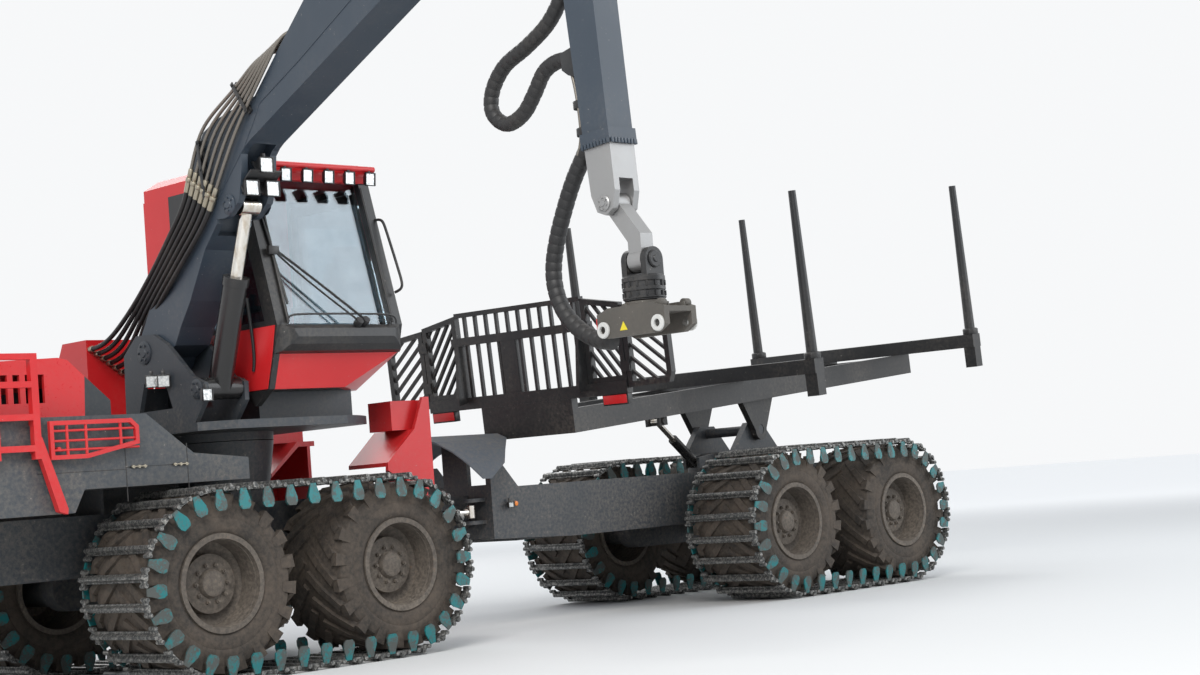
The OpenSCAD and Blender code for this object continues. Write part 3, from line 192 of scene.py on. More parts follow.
def paint(name, colour, rough, dusty, chips=0.0, chip_colour=(0.35, 0.33, 0.30), metal=0.0,
          coat=0.0):
    f = Finish(name)
    slow = f.noise(1.3, 3.0, 0.55)
    fine = f.noise(38.0, 6.0, 0.65)
    grains = f.noise(240.0, 3.0, 0.7)
    streaks = f.noise(6.0, 5.0, 0.6, stretch=(1.0, 1.0, 0.18))
    z = f.parts()[2]
    up = f.parts(f.node("NewGeometry", output=1))[2]
    low_down = 1 - f.ramp(z, 0.5, 2.6)
    dust = (f.ramp(slow + streaks * 0.5, 0.62, 1.0) * 0.5 + low_down * 0.6
            + f.ramp(up, 0.5, 0.95) * 0.45)
    dust = dust * f.ramp(fine, 0.28, 0.75) * dusty
    tone = f.mix(slow, tuple(c * 0.78 for c in colour), tuple(min(1.0, c * 1.16) for c in colour))
    surface = f.mix(dust.least(0.9), tone, DUST)
    roughness = rough + dust * 0.5 + grains * 0.05
    if chips:
        worn = f.ramp(fine + grains * 0.25, 0.86 - chips, 0.9 - chips)
        surface = f.mix(worn, surface, chip_colour)
        roughness = roughness + worn * 0.15
    f.set(Base_Color=surface, Roughness=roughness, Metallic=metal, Coat_Weight=coat)
    f.set(Normal=f.bump(grains * 0.5 + fine, 0.12, 0.002))
    return f.material


RED = paint("red_paint", (0.62, 0.018, 0.022), rough=0.28, dusty=0.16, chips=0.03)
SLATE = paint("slate_paint", (0.030, 0.038, 0.048), rough=0.42, dusty=0.42, chips=0.05)
HULL_DARK = paint("hull_paint", (0.045, 0.055, 0.066), rough=0.45, dusty=0.55, chips=0.04)
BLACK = paint("black_paint", (0.012, 0.013, 0.015), rough=0.34, dusty=0.30, chips=0.04)
BOOM = paint("boom_paint", (0.035, 0.050, 0.070), rough=0.36, dusty=0.22, chips=0.05)
BARREL = paint("barrel_paint", (0.010, 0.010, 0.011), rough=0.22, dusty=0.16, coat=0.2)
GUARD_GREY = paint("guard_sheet", (0.10, 0.12, 0.145), rough=0.6, dusty=0.55, chips=0.03)
HITCH_STEEL = paint("hitch_steel", (0.105, 0.098, 0.088), rough=0.55, dusty=0.45, chips=0.06,
                    metal=0.35)
BARE = paint("bare_steel", (0.36, 0.36, 0.36), rough=0.40, dusty=0.35, metal=0.75)
ENGINE_IRON = paint("engine_iron", (0.06, 0.06, 0.065), rough=0.6, dusty=0.5)
RUST_RIM = paint("rim_paint", (0.075, 0.062, 0.052), rough=0.65, dusty=0.6, chips=0.06,
                 chip_colour=(0.22, 0.10, 0.045))

# %% [markdown]
# A polished rod is nearly a mirror, with a faint warm film of oil and dust on it. Glass is thin
# and clear, with a grey tint, so that what is in the cab shows through it.

# %% Rod, glass, cloth, lamps
chrome = Finish("rod_chrome")
film = chrome.noise(24.0, 5.0, 0.6, stretch=(1.0, 1.0, 0.4))
oily = chrome.ramp(film, 0.35, 0.75)
chrome.set(Base_Color=chrome.mix(oily, (0.80, 0.77, 0.72), (0.58, 0.50, 0.40)), Metallic=1.0,
           Roughness=0.12 + film * 0.16)
CHROME = chrome.material

glass = Finish("pane")
haze = glass.noise(5.0, 4.0, 0.6)
clear = glass.node("BsdfTransparent", {"Color": (0.62, 0.68, 0.70)})
shine = glass.node("BsdfGlossy", {"Color": (0.9, 0.95, 1.0), "Roughness": 0.04})
facing = glass.node("LayerWeight", {"Blend": 0.25})
share = (facing * 0.8 + haze * 0.06 + 0.05).least(0.9)
pane = glass.node("MixShader", {0: share, 1: clear, 2: shine})
glass.plug(glass.tree.nodes["Material Output"].inputs["Surface"], pane)
GLASS = glass.material

seat = Finish("seat_cloth")
weave = seat.node("TexWave", {"Vector": seat.place(), "Scale": 260.0, "Distortion": 0.6}, output=1,
                  wave_type="BANDS", bands_direction="DIAGONAL")
seat.set(Base_Color=seat.mix(weave, (0.34, 0.012, 0.018), (0.50, 0.03, 0.035)), Roughness=0.85,
         Sheen_Weight=0.4, Normal=seat.bump(weave, 0.3, 0.001))
CLOTH = seat.material

lens = Finish("lamp_lens")
cells = lens.node("TexVoronoi", {"Vector": lens.place(), "Scale": 60.0})
lens.set(Base_Color=lens.mix(cells, (0.85, 0.86, 0.84), (0.45, 0.47, 0.48)), Roughness=0.12,
         Metallic=0.5, Normal=lens.bump(cells, 0.4, 0.002))
LENS = lens.material

tyre = Finish("tyre_rubber")
fine = tyre.noise(30.0, 6.0, 0.7)
slow = tyre.noise(3.0, 3.0, 0.6)
soiled = tyre.ramp(fine * 0.6 + slow * 0.6, 0.35, 0.8)
tyre.set(Base_Color=tyre.mix(soiled, (0.022, 0.020, 0.018), (0.095, 0.074, 0.057)), Roughness=0.85,
         Normal=tyre.bump(fine, 0.35, 0.004))
TYRE = tyre.material

steel = Finish("track_steel")
fine = steel.noise(45.0, 6.0, 0.7)
worn = steel.ramp(fine, 0.42, 0.66)
steel.set(Base_Color=steel.mix(worn, (0.055, 0.058, 0.058), (0.34, 0.33, 0.31)),
          Roughness=0.55 - worn * 0.15, Metallic=0.25 + worn * 0.5,
          Normal=steel.bump(fine, 0.4, 0.004))
TRACK = steel.material


def coat_node(name, finish):
    NODES[name].data.materials.clear()
    NODES[name].data.materials.append(finish)


for names, finish in (
    ("front_frame front_bogies rear_frame rear_bogies slew_platform bed_tower", SLATE),
    ("hull", HULL_DARK),
    ("engine", ENGINE_IRON),
    ("bonnet nose_guard side_guards rear_steps tail_box cab_rear cab_roof cab_apron", RED),
    ("cab_frame cab_door cab_bumper bed_floor headboard stakes rotator_head", BLACK),
    ("main_boom outer_boom", BOOM),
    ("lift_barrel outer_barrel tilt_barrel steer_barrel_left steer_barrel_right", BARREL),
    ("lift_rod outer_rod tilt_rod steer_rod_left steer_rod_right", CHROME),
    ("extension hanging_link", BARE),
    ("quick_hitch", HITCH_STEEL),
    ("mudguard", GUARD_GREY),
    ("cab_glass door_glass", GLASS),
    ("cab_seat", CLOTH),
    ("work_lamps", LENS),
    ("front_tyres rear_tyres", TYRE),
    ("front_rims rear_rims", RUST_RIM),
    ("front_tracks rear_tracks", TRACK),
):
    for name in names.split():
        coat_node(name, finish)

# %% [markdown]
# Pieces are made with bmesh operators. The helpers below add one simple solid to a mesh that is
# being built, at a place given by a matrix, so a bracket or a lamp becomes a few short lines. When
# a piece is done, its sharp edges are rounded a little, because a real edge always catches some
# light.

# %% Helpers that build pieces
SHARP, CREASE = math.radians(30), math.radians(35)


def shift(x, y, z):
    return Matrix.Translation((x, y, z))


def turn(axis, degrees):
    return Matrix.Rotation(math.radians(degrees), 4, axis)


def placed(at, points):
    return [at @ Vector(p) for p in points]


def around(count, r):
    """Places evenly round a circle, as pairs."""
    angles = [math.tau * k / count for k in range(count)]
    return [(r * math.cos(a), r * math.sin(a)) for a in angles]


def box_in(bm, lo, hi, at=Matrix()):
    lo, hi = Vector(lo), Vector(hi)
    size = hi - lo
    place = at @ Matrix.Translation((lo + hi) / 2) @ Matrix.Diagonal((*size, 1.0))
    return bmesh.ops.create_cube(bm, size=1.0, matrix=place)["verts"]


def rod_in(bm, a, b, r, segments, at=Matrix(), r2=None):
    """A rod from a to b, or a cone where r2 gives its far end another radius."""
    a, b = Vector(a), Vector(b)
    along = b - a
    axes = along.to_track_quat("Z", "Y").to_matrix().to_4x4()
    place = at @ Matrix.Translation((a + b) / 2) @ axes
    bmesh.ops.create_cone(bm, cap_ends=True, segments=segments, radius1=r, depth=along.length,
                          radius2=r if r2 is None else r2, matrix=place)


def plate_in(bm, outline, t, at=Matrix()):
    """A flat plate: the outline lies in X and Y, and the thickness t rises along Z."""
    corners = [bm.verts.new((x, y, 0.0)) for x, y in outline]
    face = bm.faces.new(corners)
    grown = bmesh.ops.extrude_face_region(bm, geom=[face])["geom"]
    top = [g for g in grown if isinstance(g, bmesh.types.BMVert)]
    bmesh.ops.translate(bm, verts=top, vec=(0.0, 0.0, t))
    faces = list({f for v in corners + top for f in v.link_faces})
    bmesh.ops.recalc_face_normals(bm, faces=faces)
    bmesh.ops.transform(bm, matrix=at, verts=corners + top)


def turned_in(bm, section, steps, at=Matrix()):
    """A turned solid: the section's points are (radius, height), spun round local Z."""
    before = set(bm.verts)
    verts = [bm.verts.new((r, 0.0, h)) for r, h in section]
    edges = [bm.edges.new(pair) for pair in zip(verts, verts[1:])]
    bmesh.ops.spin(bm, geom=verts + edges, cent=(0, 0, 0), axis=(0, 0, 1), dvec=(0, 0, 0),
                   angle=math.tau, steps=steps, use_merge=True)
    bmesh.ops.recalc_face_normals(bm, faces=[f for f in bm.faces if f.verts[0] not in before])
    bmesh.ops.transform(bm, matrix=at, verts=[v for v in bm.verts if v not in before])


def as_mesh(bm, name):
    mesh = bpy.data.meshes.new(name)
    bm.to_mesh(mesh)
    bm.free()
    return mesh


def add_piece(name, mesh, finish, body):
    """body is None for a piece that is not attached to any body."""
    mesh.materials.append(finish)
    piece = bpy.data.objects.new(name, mesh)
    SCENE.collection.objects.link(piece)
    if body:
        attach(piece, body)
    return piece


def finish_piece(name, bm, finish, body, bevel=0.0, segments=2):
    if bevel:
        sharp = [e for e in bm.edges if len(e.link_faces) == 2 and e.calc_face_angle(0.0) > SHARP]
        bmesh.ops.bevel(bm, geom=sharp, offset=bevel, segments=segments, profile=0.5,
                        affect="EDGES", material=-1, clamp_overlap=True)
    for f in bm.faces:
        f.smooth = True
    for e in bm.edges:
        e.smooth = len(e.link_faces) != 2 or e.calc_face_angle(0.0) < CREASE
    return add_piece(name, as_mesh(bm, name), finish, body)


def box_piece(name, boxes, at, finish, body, bevel):
    bm = bmesh.new()
    for lo, hi in boxes:
        box_in(bm, lo, hi, at)
    finish_piece(name, bm, finish, body, bevel=bevel)


def repeat_piece(name, mesh, places, finish, body):
    """The same mesh at each place, as one piece."""
    bm = bmesh.new()
    for at in places:
        before = len(bm.verts)
        bm.from_mesh(mesh)
        bm.verts.ensure_lookup_table()
        bmesh.ops.transform(bm, matrix=at, verts=bm.verts[before:])
    piece = finish_piece(name, bm, finish, body)
    print(name, len(piece.data.polygons), "faces")
    return piece


def hose_piece(name, points, r, finish, body, smooth=True):
    """A hose, pipe or cable as a round tube along a smooth curve, made into a mesh."""
    curve = bpy.data.curves.new(name, "CURVE")
    curve.dimensions = "3D"
    curve.bevel_depth = r
    curve.bevel_resolution = 3
    curve.resolution_u = 6
    curve.use_fill_caps = True
    spline = curve.splines.new("NURBS" if smooth else "POLY")
    spline.points.add(len(points) - 1)
    for point, place in zip(spline.points, points):
        point.co = (*place, 1.0)
    if smooth:
        spline.order_u = min(4, len(points))
        spline.use_endpoint_u = True
    drawn = bpy.data.objects.new(name, curve)
    SCENE.collection.objects.link(drawn)
    graph = bpy.context.evaluated_depsgraph_get()
    mesh = bpy.data.meshes.new_from_object(drawn.evaluated_get(graph))
    bpy.data.objects.remove(drawn)
    mesh.name = name
    mesh.materials.clear()
    for polygon in mesh.polygons:
        polygon.use_smooth = True
    return add_piece(name, mesh, finish, body)


# %% [markdown]
# The platform turns about its own axis, and the crane works in one upright plane on it. Pieces
# there are easier to place in that plane's own terms, so these matrices carry them into the
# machine's frame: x runs out along the crane, y to its left and z up.

# %% Frames of the platform, the crane and the bed
SLEW_X, CRANE_Y, WHEELBASE, TABLE_Z = -0.120, -0.510, 6.0, 1.5
BOOM_ANGLE, STICK_ANGLE, LINK_ANGLE = 32.5, -86.0, -65.0
BOOM_LEN, TIP_X, LINK_LEN = 5.240, 2.420, 0.380
AT_FRONT = Matrix.Translation(FRONT)
AT_REAR = AT_FRONT @ shift(-WHEELBASE, 0, 0)
ENDS = (("front", AT_FRONT), ("rear", AT_REAR))
TURNED = AT_FRONT @ shift(SLEW_X, 0, 0) @ turn("Z", 90)
CRANE = TURNED @ shift(0, CRANE_Y, 0)


def at_pin(p, degrees):
    return CRANE @ shift(p[0], 0, p[1]) @ turn("Y", -degrees)


def further(p, degrees, length):
    """The place at an angle and a distance from p, in the crane's plane."""
    a = math.radians(degrees)
    return (p[0] + length * math.cos(a), p[1] + length * math.sin(a))


FOOT = (0.330, 2.300)
TIP = further(FOOT, BOOM_ANGLE, BOOM_LEN)
TIP_PIN = further(TIP, STICK_ANGLE, TIP_X)
CROSS_PIN = further(TIP_PIN, LINK_ANGLE, LINK_LEN)
MAIN = at_pin(FOOT, BOOM_ANGLE)
STICK = at_pin(TIP, STICK_ANGLE)
HANG = at_pin(CROSS_PIN, -90.0)
BED = AT_REAR @ shift(0, 0, TABLE_Z) @ turn("Z", 8) @ turn("Y", 4.5)
UPRIGHT = turn("X", 90)  # outline x, y becomes x, z

# %% [markdown]
# The bogie tracks are what the eye meets first. Each shoe is a forged bar with a worn, bright
# ridge, joined to its neighbours by links near both ends, and from the links hang paddle-shaped
# side plates with teal paint left on them, which keep the track on the tyre. One shoe is modelled
# and repeated along the loop; the four tracks are the same loop at four places.

# %% Tracks
TYRE_R, LINK_T, SHOE_H = 0.610, 0.014, 0.036
LOOP_R = TYRE_R + 0.0003 + LINK_T
AXLE_Z = LOOP_R + SHOE_H
BOGIE, SHOES, SHOE_LEN, WHEEL_Y = 1.540, 36, 0.810, 1.045
LOOP_LEN = 2 * BOGIE + 2 * math.pi * LOOP_R
PITCH_LEN = LOOP_LEN / SHOES


def loop_place(d):
    """At distance d along the loop: x along the travel, y across the track and z outwards."""
    arc = math.pi * LOOP_R
    d = d % LOOP_LEN
    if d < BOGIE:
        return shift(d - BOGIE / 2, 0, LOOP_R)
    d -= BOGIE
    if d < arc:
        return shift(BOGIE / 2, 0, 0) @ Matrix.Rotation(d / LOOP_R, 4, "Y") @ shift(0, 0, LOOP_R)
    d -= arc
    if d < BOGIE:
        return shift(BOGIE / 2 - d, 0, -LOOP_R) @ turn("Y", 180)
    turned = math.pi + (d - BOGIE) / LOOP_R
    return shift(-BOGIE / 2, 0, 0) @ Matrix.Rotation(turned, 4, "Y") @ shift(0, 0, LOOP_R)


def make_shoe():
    bm = bmesh.new()
    half = SHOE_LEN / 2
    box_in(bm, (-0.030, -half + 0.03, -LINK_T + 0.0004), (0.030, half - 0.03, 0.001))
    ridge = box_in(bm, (-0.021, -half, -0.002), (0.021, half, SHOE_H))
    for v in ridge:
        if v.co.z > 0.01:
            v.co.x *= 0.55
            v.co.y *= 0.955
    for s in (1, -1):
        y0, y1 = sorted((s * (half - 0.062), s * (half - 0.022)))
        box_in(bm, (-0.052, y0, -0.012), (0.052, y1, 0.012))
        for x in (-0.052, 0.052):
            rod_in(bm, (x, s * (half - 0.072), 0), (x, s * (half - 0.008), 0), 0.016, 10)
    sharp = [e for e in bm.edges if e.calc_length() > 0.3]
    bmesh.ops.bevel(bm, geom=sharp, offset=0.006, segments=2, profile=0.5, affect="EDGES",
                    material=-1)
    return as_mesh(bm, "one_shoe")


def make_side_plates():
    bm = bmesh.new()
    outline = [(-0.024, 0.0), (0.024, 0.0), (0.030, -0.030), (0.047, -0.085), (0.045, -0.120),
               (0.028, -0.142), (-0.028, -0.142), (-0.045, -0.120), (-0.047, -0.085),
               (-0.030, -0.030)]
    for s in (1, -1):
        at = shift(0, s * (SHOE_LEN / 2 - 0.020), -0.002) @ turn("X", 7 * s) @ UPRIGHT
        plate_in(bm, outline, 0.012, at @ shift(0, 0, -0.006))
        rod_in(bm, (0, s * 0.382, -0.105), (0, s * 0.398, -0.105), 0.017, 10)
    return as_mesh(bm, "one_side_plate")


teal = Finish("teal_plate")
fine = teal.noise(60.0, 6.0, 0.7)
slow = teal.noise(9.0, 4.0, 0.6)
left = teal.ramp(fine * 0.5 + slow * 0.7, 0.50, 0.66)
teal.set(Base_Color=teal.mix(left, (0.004, 0.165, 0.175), (0.10, 0.11, 0.105)),
         Roughness=0.38 + left * 0.3, Metallic=left * 0.5, Normal=teal.bump(fine, 0.3, 0.003))

shoe, side_plate = make_shoe(), make_side_plates()
for end, at_end in ENDS:
    for part, mesh, finish, offset in (("shoes", shoe, TRACK, 0.5),
                                       ("side_plates", side_plate, teal.material, 0.0)):
        places = [at_end @ shift(0, s * WHEEL_Y, AXLE_Z) @ loop_place((i + offset) * PITCH_LEN)
                  for s in (1, -1) for i in range(SHOES)]
        piece = repeat_piece(f"{end}_{part}", mesh, places, finish, f"{end}_frame")
        if part == "shoes":
            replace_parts(piece, f"{end}_tracks")

# %% [markdown]
# Steel pipes carry the oil up the main boom side by side, and rubber hoses join them at couplings
# above the lift cylinder. Each pipe is one smooth tube along a few points worked out from its
# place in the row. The hoses sag from the tail box to the couplings.

# %% Pipes and hoses of the main boom
PIPE_METAL = paint("pipe_metal", (0.21, 0.19, 0.165), rough=0.36, dusty=0.25, metal=0.6)
RUBBER = paint("hose_rubber", (0.013, 0.013, 0.014), rough=0.5, dusty=0.22)
FITTING = paint("fitting_steel", (0.40, 0.36, 0.28), rough=0.34, dusty=0.3, metal=0.8)
SIDE_Y = -0.175

fittings = bmesh.new()
for i in range(6):
    start = Vector((1.23 + 0.028 * i, SIDE_Y, 0.636 - 0.060 * i))
    second = Vector((1.39 + 0.040 * i, SIDE_Y, 0.735 - 0.062 * i))
    inner_y = 0.028 * i - 0.070
    hose_piece(f"boom_pipe_{i}", placed(MAIN, [
        start, second, (1.55 + 0.05 * i, SIDE_Y, 0.80 - 0.06 * i),
        (1.93 + 0.01 * i, SIDE_Y, 0.725 - 0.037 * i), (2.20 + 0.04 * i, SIDE_Y, 0.720 - 0.020 * i),
        (2.36 + 0.045 * i, -0.125, 0.720), (2.52 + 0.045 * i, inner_y, 0.55), (2.95, inner_y, 0.43),
        (3.60, inner_y, 0.36), (4.28, inner_y, 0.287),
    ]), 0.0125, PIPE_METAL, "main_boom")
    back = (start - second).normalized()
    for d0, d1, r, sides in ((-0.02, 0.045, 0.019, 6), (0.045, 0.075, 0.026, 6),
                             (0.075, 0.150, 0.021, 14)):
        rod_in(fittings, start + back * d0, start + back * d1, r, sides, MAIN)
    rod_in(fittings, (4.26, inner_y, 0.289), (4.33, inner_y, 0.282), 0.019, 6, MAIN)
    joint = start + back * 0.13
    out = Vector((-0.595 - 0.019 * i, 0.05 * i - 0.16, 0.498 - 0.0295 * i))
    hose = hose_piece(f"boom_hose_{i}", placed(MAIN, [
        joint, joint + back * 0.12, (0.80, -0.18, 0.46 - 0.050 * i),
        (0.50, -0.18, 0.40 - 0.045 * i),
        (0.18, 0.012 * i - 0.178, 0.36 - 0.030 * i), (-0.12, 0.03 * i - 0.17, 0.36 - 0.025 * i),
        (-0.36, 0.05 * i - 0.16, 0.385 - 0.028 * i), out + Vector((0.10, 0, -0.064)), out,
    ]), 0.0175, RUBBER, None)
    MAIN @ Vector((-0.45, 0, 0.4))
    MAIN @ Vector((0.55, 0, 0.3))
    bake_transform(hose)
    hose_piece(f"tip_hose_{i}", placed(MAIN, [
        (4.31, inner_y, 0.284), (4.42, inner_y, 0.275), (4.54, inner_y * 0.8, 0.262),
        (4.64, inner_y * 0.6, 0.235)]), 0.0155, RUBBER, "main_boom")
    inner, outer = out + Vector((-0.01, 0, 0.006)), out + Vector((0.045, 0, -0.029))
    rod_in(fittings, inner, outer, 0.024, 6, MAIN)
finish_piece("pipe_fittings", fittings, FITTING, "main_boom", bevel=0.002, segments=1)

clamps = bmesh.new()
for u, v, length, angle in ((1.34, 0.55, 0.42, -64), (1.98, 0.635, 0.27, -92)):
    lean = MAIN @ shift(u, 0, v) @ turn("Y", angle)
    box_in(clamps, (-length / 2, -0.193, -0.016), (length / 2, -0.186, 0.016), lean)
    box_in(clamps, (-length / 2, -0.163, -0.020), (length / 2, -0.146, 0.020), lean)
    for x in (-length / 2 + 0.02, 0.0, length / 2 - 0.02):
        rod_in(clamps, (x, -0.200, 0), (x, -0.184, 0), 0.009, 6, lean)
for u in (3.05, 3.70, 4.20):
    top = 0.47 - (u - 2.3) * 0.1074
    box_in(clamps, (u - 0.025, -0.100, top - 0.004), (u + 0.025, 0.100, top + 0.022), MAIN)
    box_in(clamps, (u - 0.022, -0.095, top + 0.047), (u + 0.022, 0.095, top + 0.055), MAIN)
box_in(clamps, (4.56, -0.075, 0.19), (4.72, 0.075, 0.262), MAIN)
finish_piece("pipe_clamps", clamps, BLACK, "main_boom", bevel=0.003)
print("pipes, hoses and clamps of the main boom made")

# %% [markdown]
# A crane pin ends in a round cap, held by small bolts. One cap is a turned section with bolt heads
# round it, and it is set on both ends of each pin, on the body that carries it. Weld seams run
# along both sides of the main boom, where its plates are joined.

# %% Pin caps and weld seams
def cap_in(bm, at, r, bolts=6):
    turned_in(bm, [(0, 0.018), (r * 0.35, 0.018), (r * 0.42, 0.012), (r * 0.86, 0.012), (r, 0.006),
                   (r, 0.0)], 28, at)
    for x, y in around(bolts, r * 0.66):
        rod_in(bm, (x, y, 0.010), (x, y, 0.022), r * 0.11, 6, at)


def pin_caps(name, at, half_width, pins, finish, body):
    """pins are (x, z, radius), each capped on both sides, facing out along Y."""
    caps = bmesh.new()
    for x, z, r in pins:
        for s in (1, -1):
            cap_in(caps, at @ shift(x, s * half_width, z) @ turn("X", -90 * s), r)
    finish_piece(name, caps, finish, body)


EAR_Y, BOX_Y, FORK_Y = 0.1875, 0.1455, 0.1005  # half widths of the ears, the box and the fork
pin_caps("foot_pin_caps", CRANE, EAR_Y, [(0.330, 2.300, 0.085), (0.950, 1.990, 0.070)],
         SLATE, "platform")
pin_caps("boom_pin_caps", MAIN, BOX_Y, [(3.200, 0.700, 0.062), (1.402, 0.188, 0.068)],
         BOOM, "main_boom")
pin_caps("stick_pin_caps", STICK, EAR_Y, [(0.0, 0.0, 0.080), (-0.380, 0.0, 0.052)],
         BOOM, "outer_boom")
pin_caps("tip_pin_caps", STICK, FORK_Y, [(2.420, 0.0, 0.046)], BARE, "extension")

seams = bmesh.new()
seam = [(1.30, 0.300), (1.77, 0.378), (1.95, 0.435), (2.08, 0.489), (2.60, 0.410), (3.90, 0.255),
        (4.90, 0.135)]
for s in (1, -1):
    for a, b in zip(seam, seam[1:]):
        rod_in(seams, (a[0], s * BOX_Y, a[1]), (b[0], s * BOX_Y, b[1]), 0.0045, 8, MAIN)
finish_piece("boom_weld_seams", seams, BOOM, "main_boom")
print("caps and seams made")

# %% [markdown]
# Square work lamps sit in a group of three under the boom, and more stand at the crane's foot and
# on the cab's rear corner. A lamp is a box that narrows towards its back, with a deep rim round a
# bright lens. The lens is its own piece, because it has its own material.

# %% Crane lamps
def lamp_in(case, front, at, w, h, d):
    """Faces along local X, with width w, height h and depth d."""
    y, z, rim = w / 2, h / 2, 0.008
    for v in box_in(case, (-d, -y, -z), (0, y, z)):
        if v.co.x < -d / 2:
            v.co.yz *= 0.62
        v.co = at @ v.co
    for a, b in (((-y, -z), (-y + rim, z)), ((y - rim, -z), (y, z)), ((-y, -z), (y, -z + rim)),
                 ((-y, z - rim), (y, z))):
        box_in(case, (-0.002, *a), (0.012, *b), at)
    box_in(case, (-d * 0.6, -0.012, z - 0.012), (-d * 0.25, 0.012, z + 0.030), at)
    box_in(front, (-0.001, -y + 0.007, -z + 0.007), (0.004, y - 0.007, z - 0.007), at)


def lamp_pieces(name, places, body, w, h, d):
    case, front = bmesh.new(), bmesh.new()
    for at in places:
        lamp_in(case, front, at, w, h, d)
    cases = finish_piece(name + "_cases", case, BLACK, body, bevel=0.003)
    finish_piece(name + "_lenses", front, LENS, body)
    return cases


lamp_pieces("boom_lamps", [CRANE @ shift(1.60, -0.085, 3.30), CRANE @ shift(1.60, 0.085, 3.30),
                           CRANE @ shift(1.66, 0.0, 3.45)], "main_boom", 0.115, 0.110, 0.075)
box_piece("boom_lamp_bracket", [
    ((1.565, -0.140, 0.150), (1.580, 0.140, 0.250)), ((1.60, -0.130, 0.215), (1.72, 0.130, 0.230)),
    ((1.680, -0.06, 0.225), (1.692, 0.06, 0.330))], MAIN, BLACK, "main_boom", 0.002)
lamp_pieces("foot_lamps", [CRANE @ shift(0.47, -0.235, 2.085) @ turn("Z", -30),
                           CRANE @ shift(0.62, -0.235, 2.075) @ turn("Z", -30),
                           CRANE @ shift(1.085, -0.200, 1.94)], "platform", 0.090, 0.090, 0.050)
lamp_pieces("rear_cab_lamp", [TURNED @ shift(-0.285, -0.14, 3.36) @ turn("Z", 180)],
            "platform", 0.095, 0.120, 0.060)

# %% [markdown]
# The outer boom carries hoses down its back edge to a bracket. From there a thick bundle in a
# spiral wrap makes a free loop, which gives way when the extension slides out, and a second one
# hangs down to the hitch. The wrap's turns are rings along the tube, swept with the tube's own
# tangent, because a real turn overlaps the next like a scale.

# %% Wrapped hoses of the outer boom
def smooth_path(points, steps=14):
    """Points on a Catmull-Rom curve through the given ones."""
    ends = [points[0] * 2 - points[1], *points, points[-1] * 2 - points[-2]]
    path = []
    for p0, p1, p2, p3 in zip(ends, ends[1:], ends[2:], ends[3:]):
        for k in range(steps):
            t = k / steps
            path.append(0.5 * (2 * p1 + (p2 - p0) * t + (2 * p0 - 5 * p1 + 4 * p2 - p3) * t * t
                               + (3 * p1 - p0 - 3 * p2 + p3) * t ** 3))
    return [*path, points[-1]]


WRAP_PITCH, WRAP_SIDES = 0.055, 16


def wrapped_hose(name, points, r):
    """A tube whose radius saws a little at each turn of the wrap."""
    path = smooth_path(placed(STICK, [(x, 0.0, z) for x, z in points]))
    samples, length = [], 0.0
    for a, b in zip(path, path[1:]):
        samples.append((length, a, (b - a).normalized()))
        length += (b - a).length
    samples.append((length, path[-1], (path[-1] - path[-2]).normalized()))

    def sample(d):
        for (d0, p0, t0), (d1, p1, t1) in zip(samples, samples[1:]):
            if d <= d1:
                share = (d - d0) / (d1 - d0)
                return p0.lerp(p1, share), t0.lerp(t1, share).normalized()
        return samples[-1][1], samples[-1][2]

    turns = round(length / WRAP_PITCH)
    wrap = ((0.0, 0.93), (0.18, 1.0), (0.86, 0.985), (0.97, 0.925))
    stops = [((k + part) / turns, scale) for k in range(turns) for part, scale in wrap]
    bm, rings, side = bmesh.new(), [], None
    for share, scale in [*stops, (1.0, 0.93)]:
        place, along = sample(share * length)
        side = along.orthogonal() if side is None else (side - along * side.dot(along))
        side.normalize()
        axes = Matrix((side, along.cross(side), along)).transposed().to_4x4()
        ring = bmesh.ops.create_circle(bm, segments=WRAP_SIDES, radius=r * scale,
                                       matrix=Matrix.Translation(place) @ axes)["verts"]
        rings.append([bm.edges.get(pair) for pair in zip(ring, [*ring[1:], ring[0]])])
    for lower, upper in zip(rings, rings[1:]):
        bmesh.ops.bridge_loops(bm, edges=lower + upper)
    for ring in (rings[0], rings[-1]):
        bmesh.ops.contextual_create(bm, geom=ring)
    bmesh.ops.recalc_face_normals(bm, faces=bm.faces)
    piece = finish_piece(name, bm, RUBBER, None)
    print(name, "is", round(length, 2), "m long")
    return piece


loop = wrapped_hose("loop_hose", [
    (1.02, -0.140), (1.13, -0.215), (1.26, -0.36), (1.345, -0.56), (1.41, -0.77), (1.53, -0.90),
    (1.66, -0.92), (1.755, -0.81), (1.73, -0.66), (1.635, -0.545), (1.53, -0.44), (1.50, -0.31),
    (1.53, -0.20), (1.57, -0.130)], 0.047)
STICK @ Vector((1.10, 0, 0))
STICK @ Vector((1.60, 0, 0))
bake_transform(loop)
long_hose = wrapped_hose("hitch_hose", [
    (2.02, -0.140), (2.12, -0.235), (2.21, -0.315), (2.33, -0.40), (2.50, -0.50), (2.66, -0.565),
    (2.80, -0.575), (2.94, -0.53), (3.06, -0.43), (3.15, -0.29), (3.185, -0.16)], 0.050)
STICK @ Vector((2.25, 0, -0.3))
STICK @ Vector((3.0, 0, -0.5))
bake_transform(long_hose)

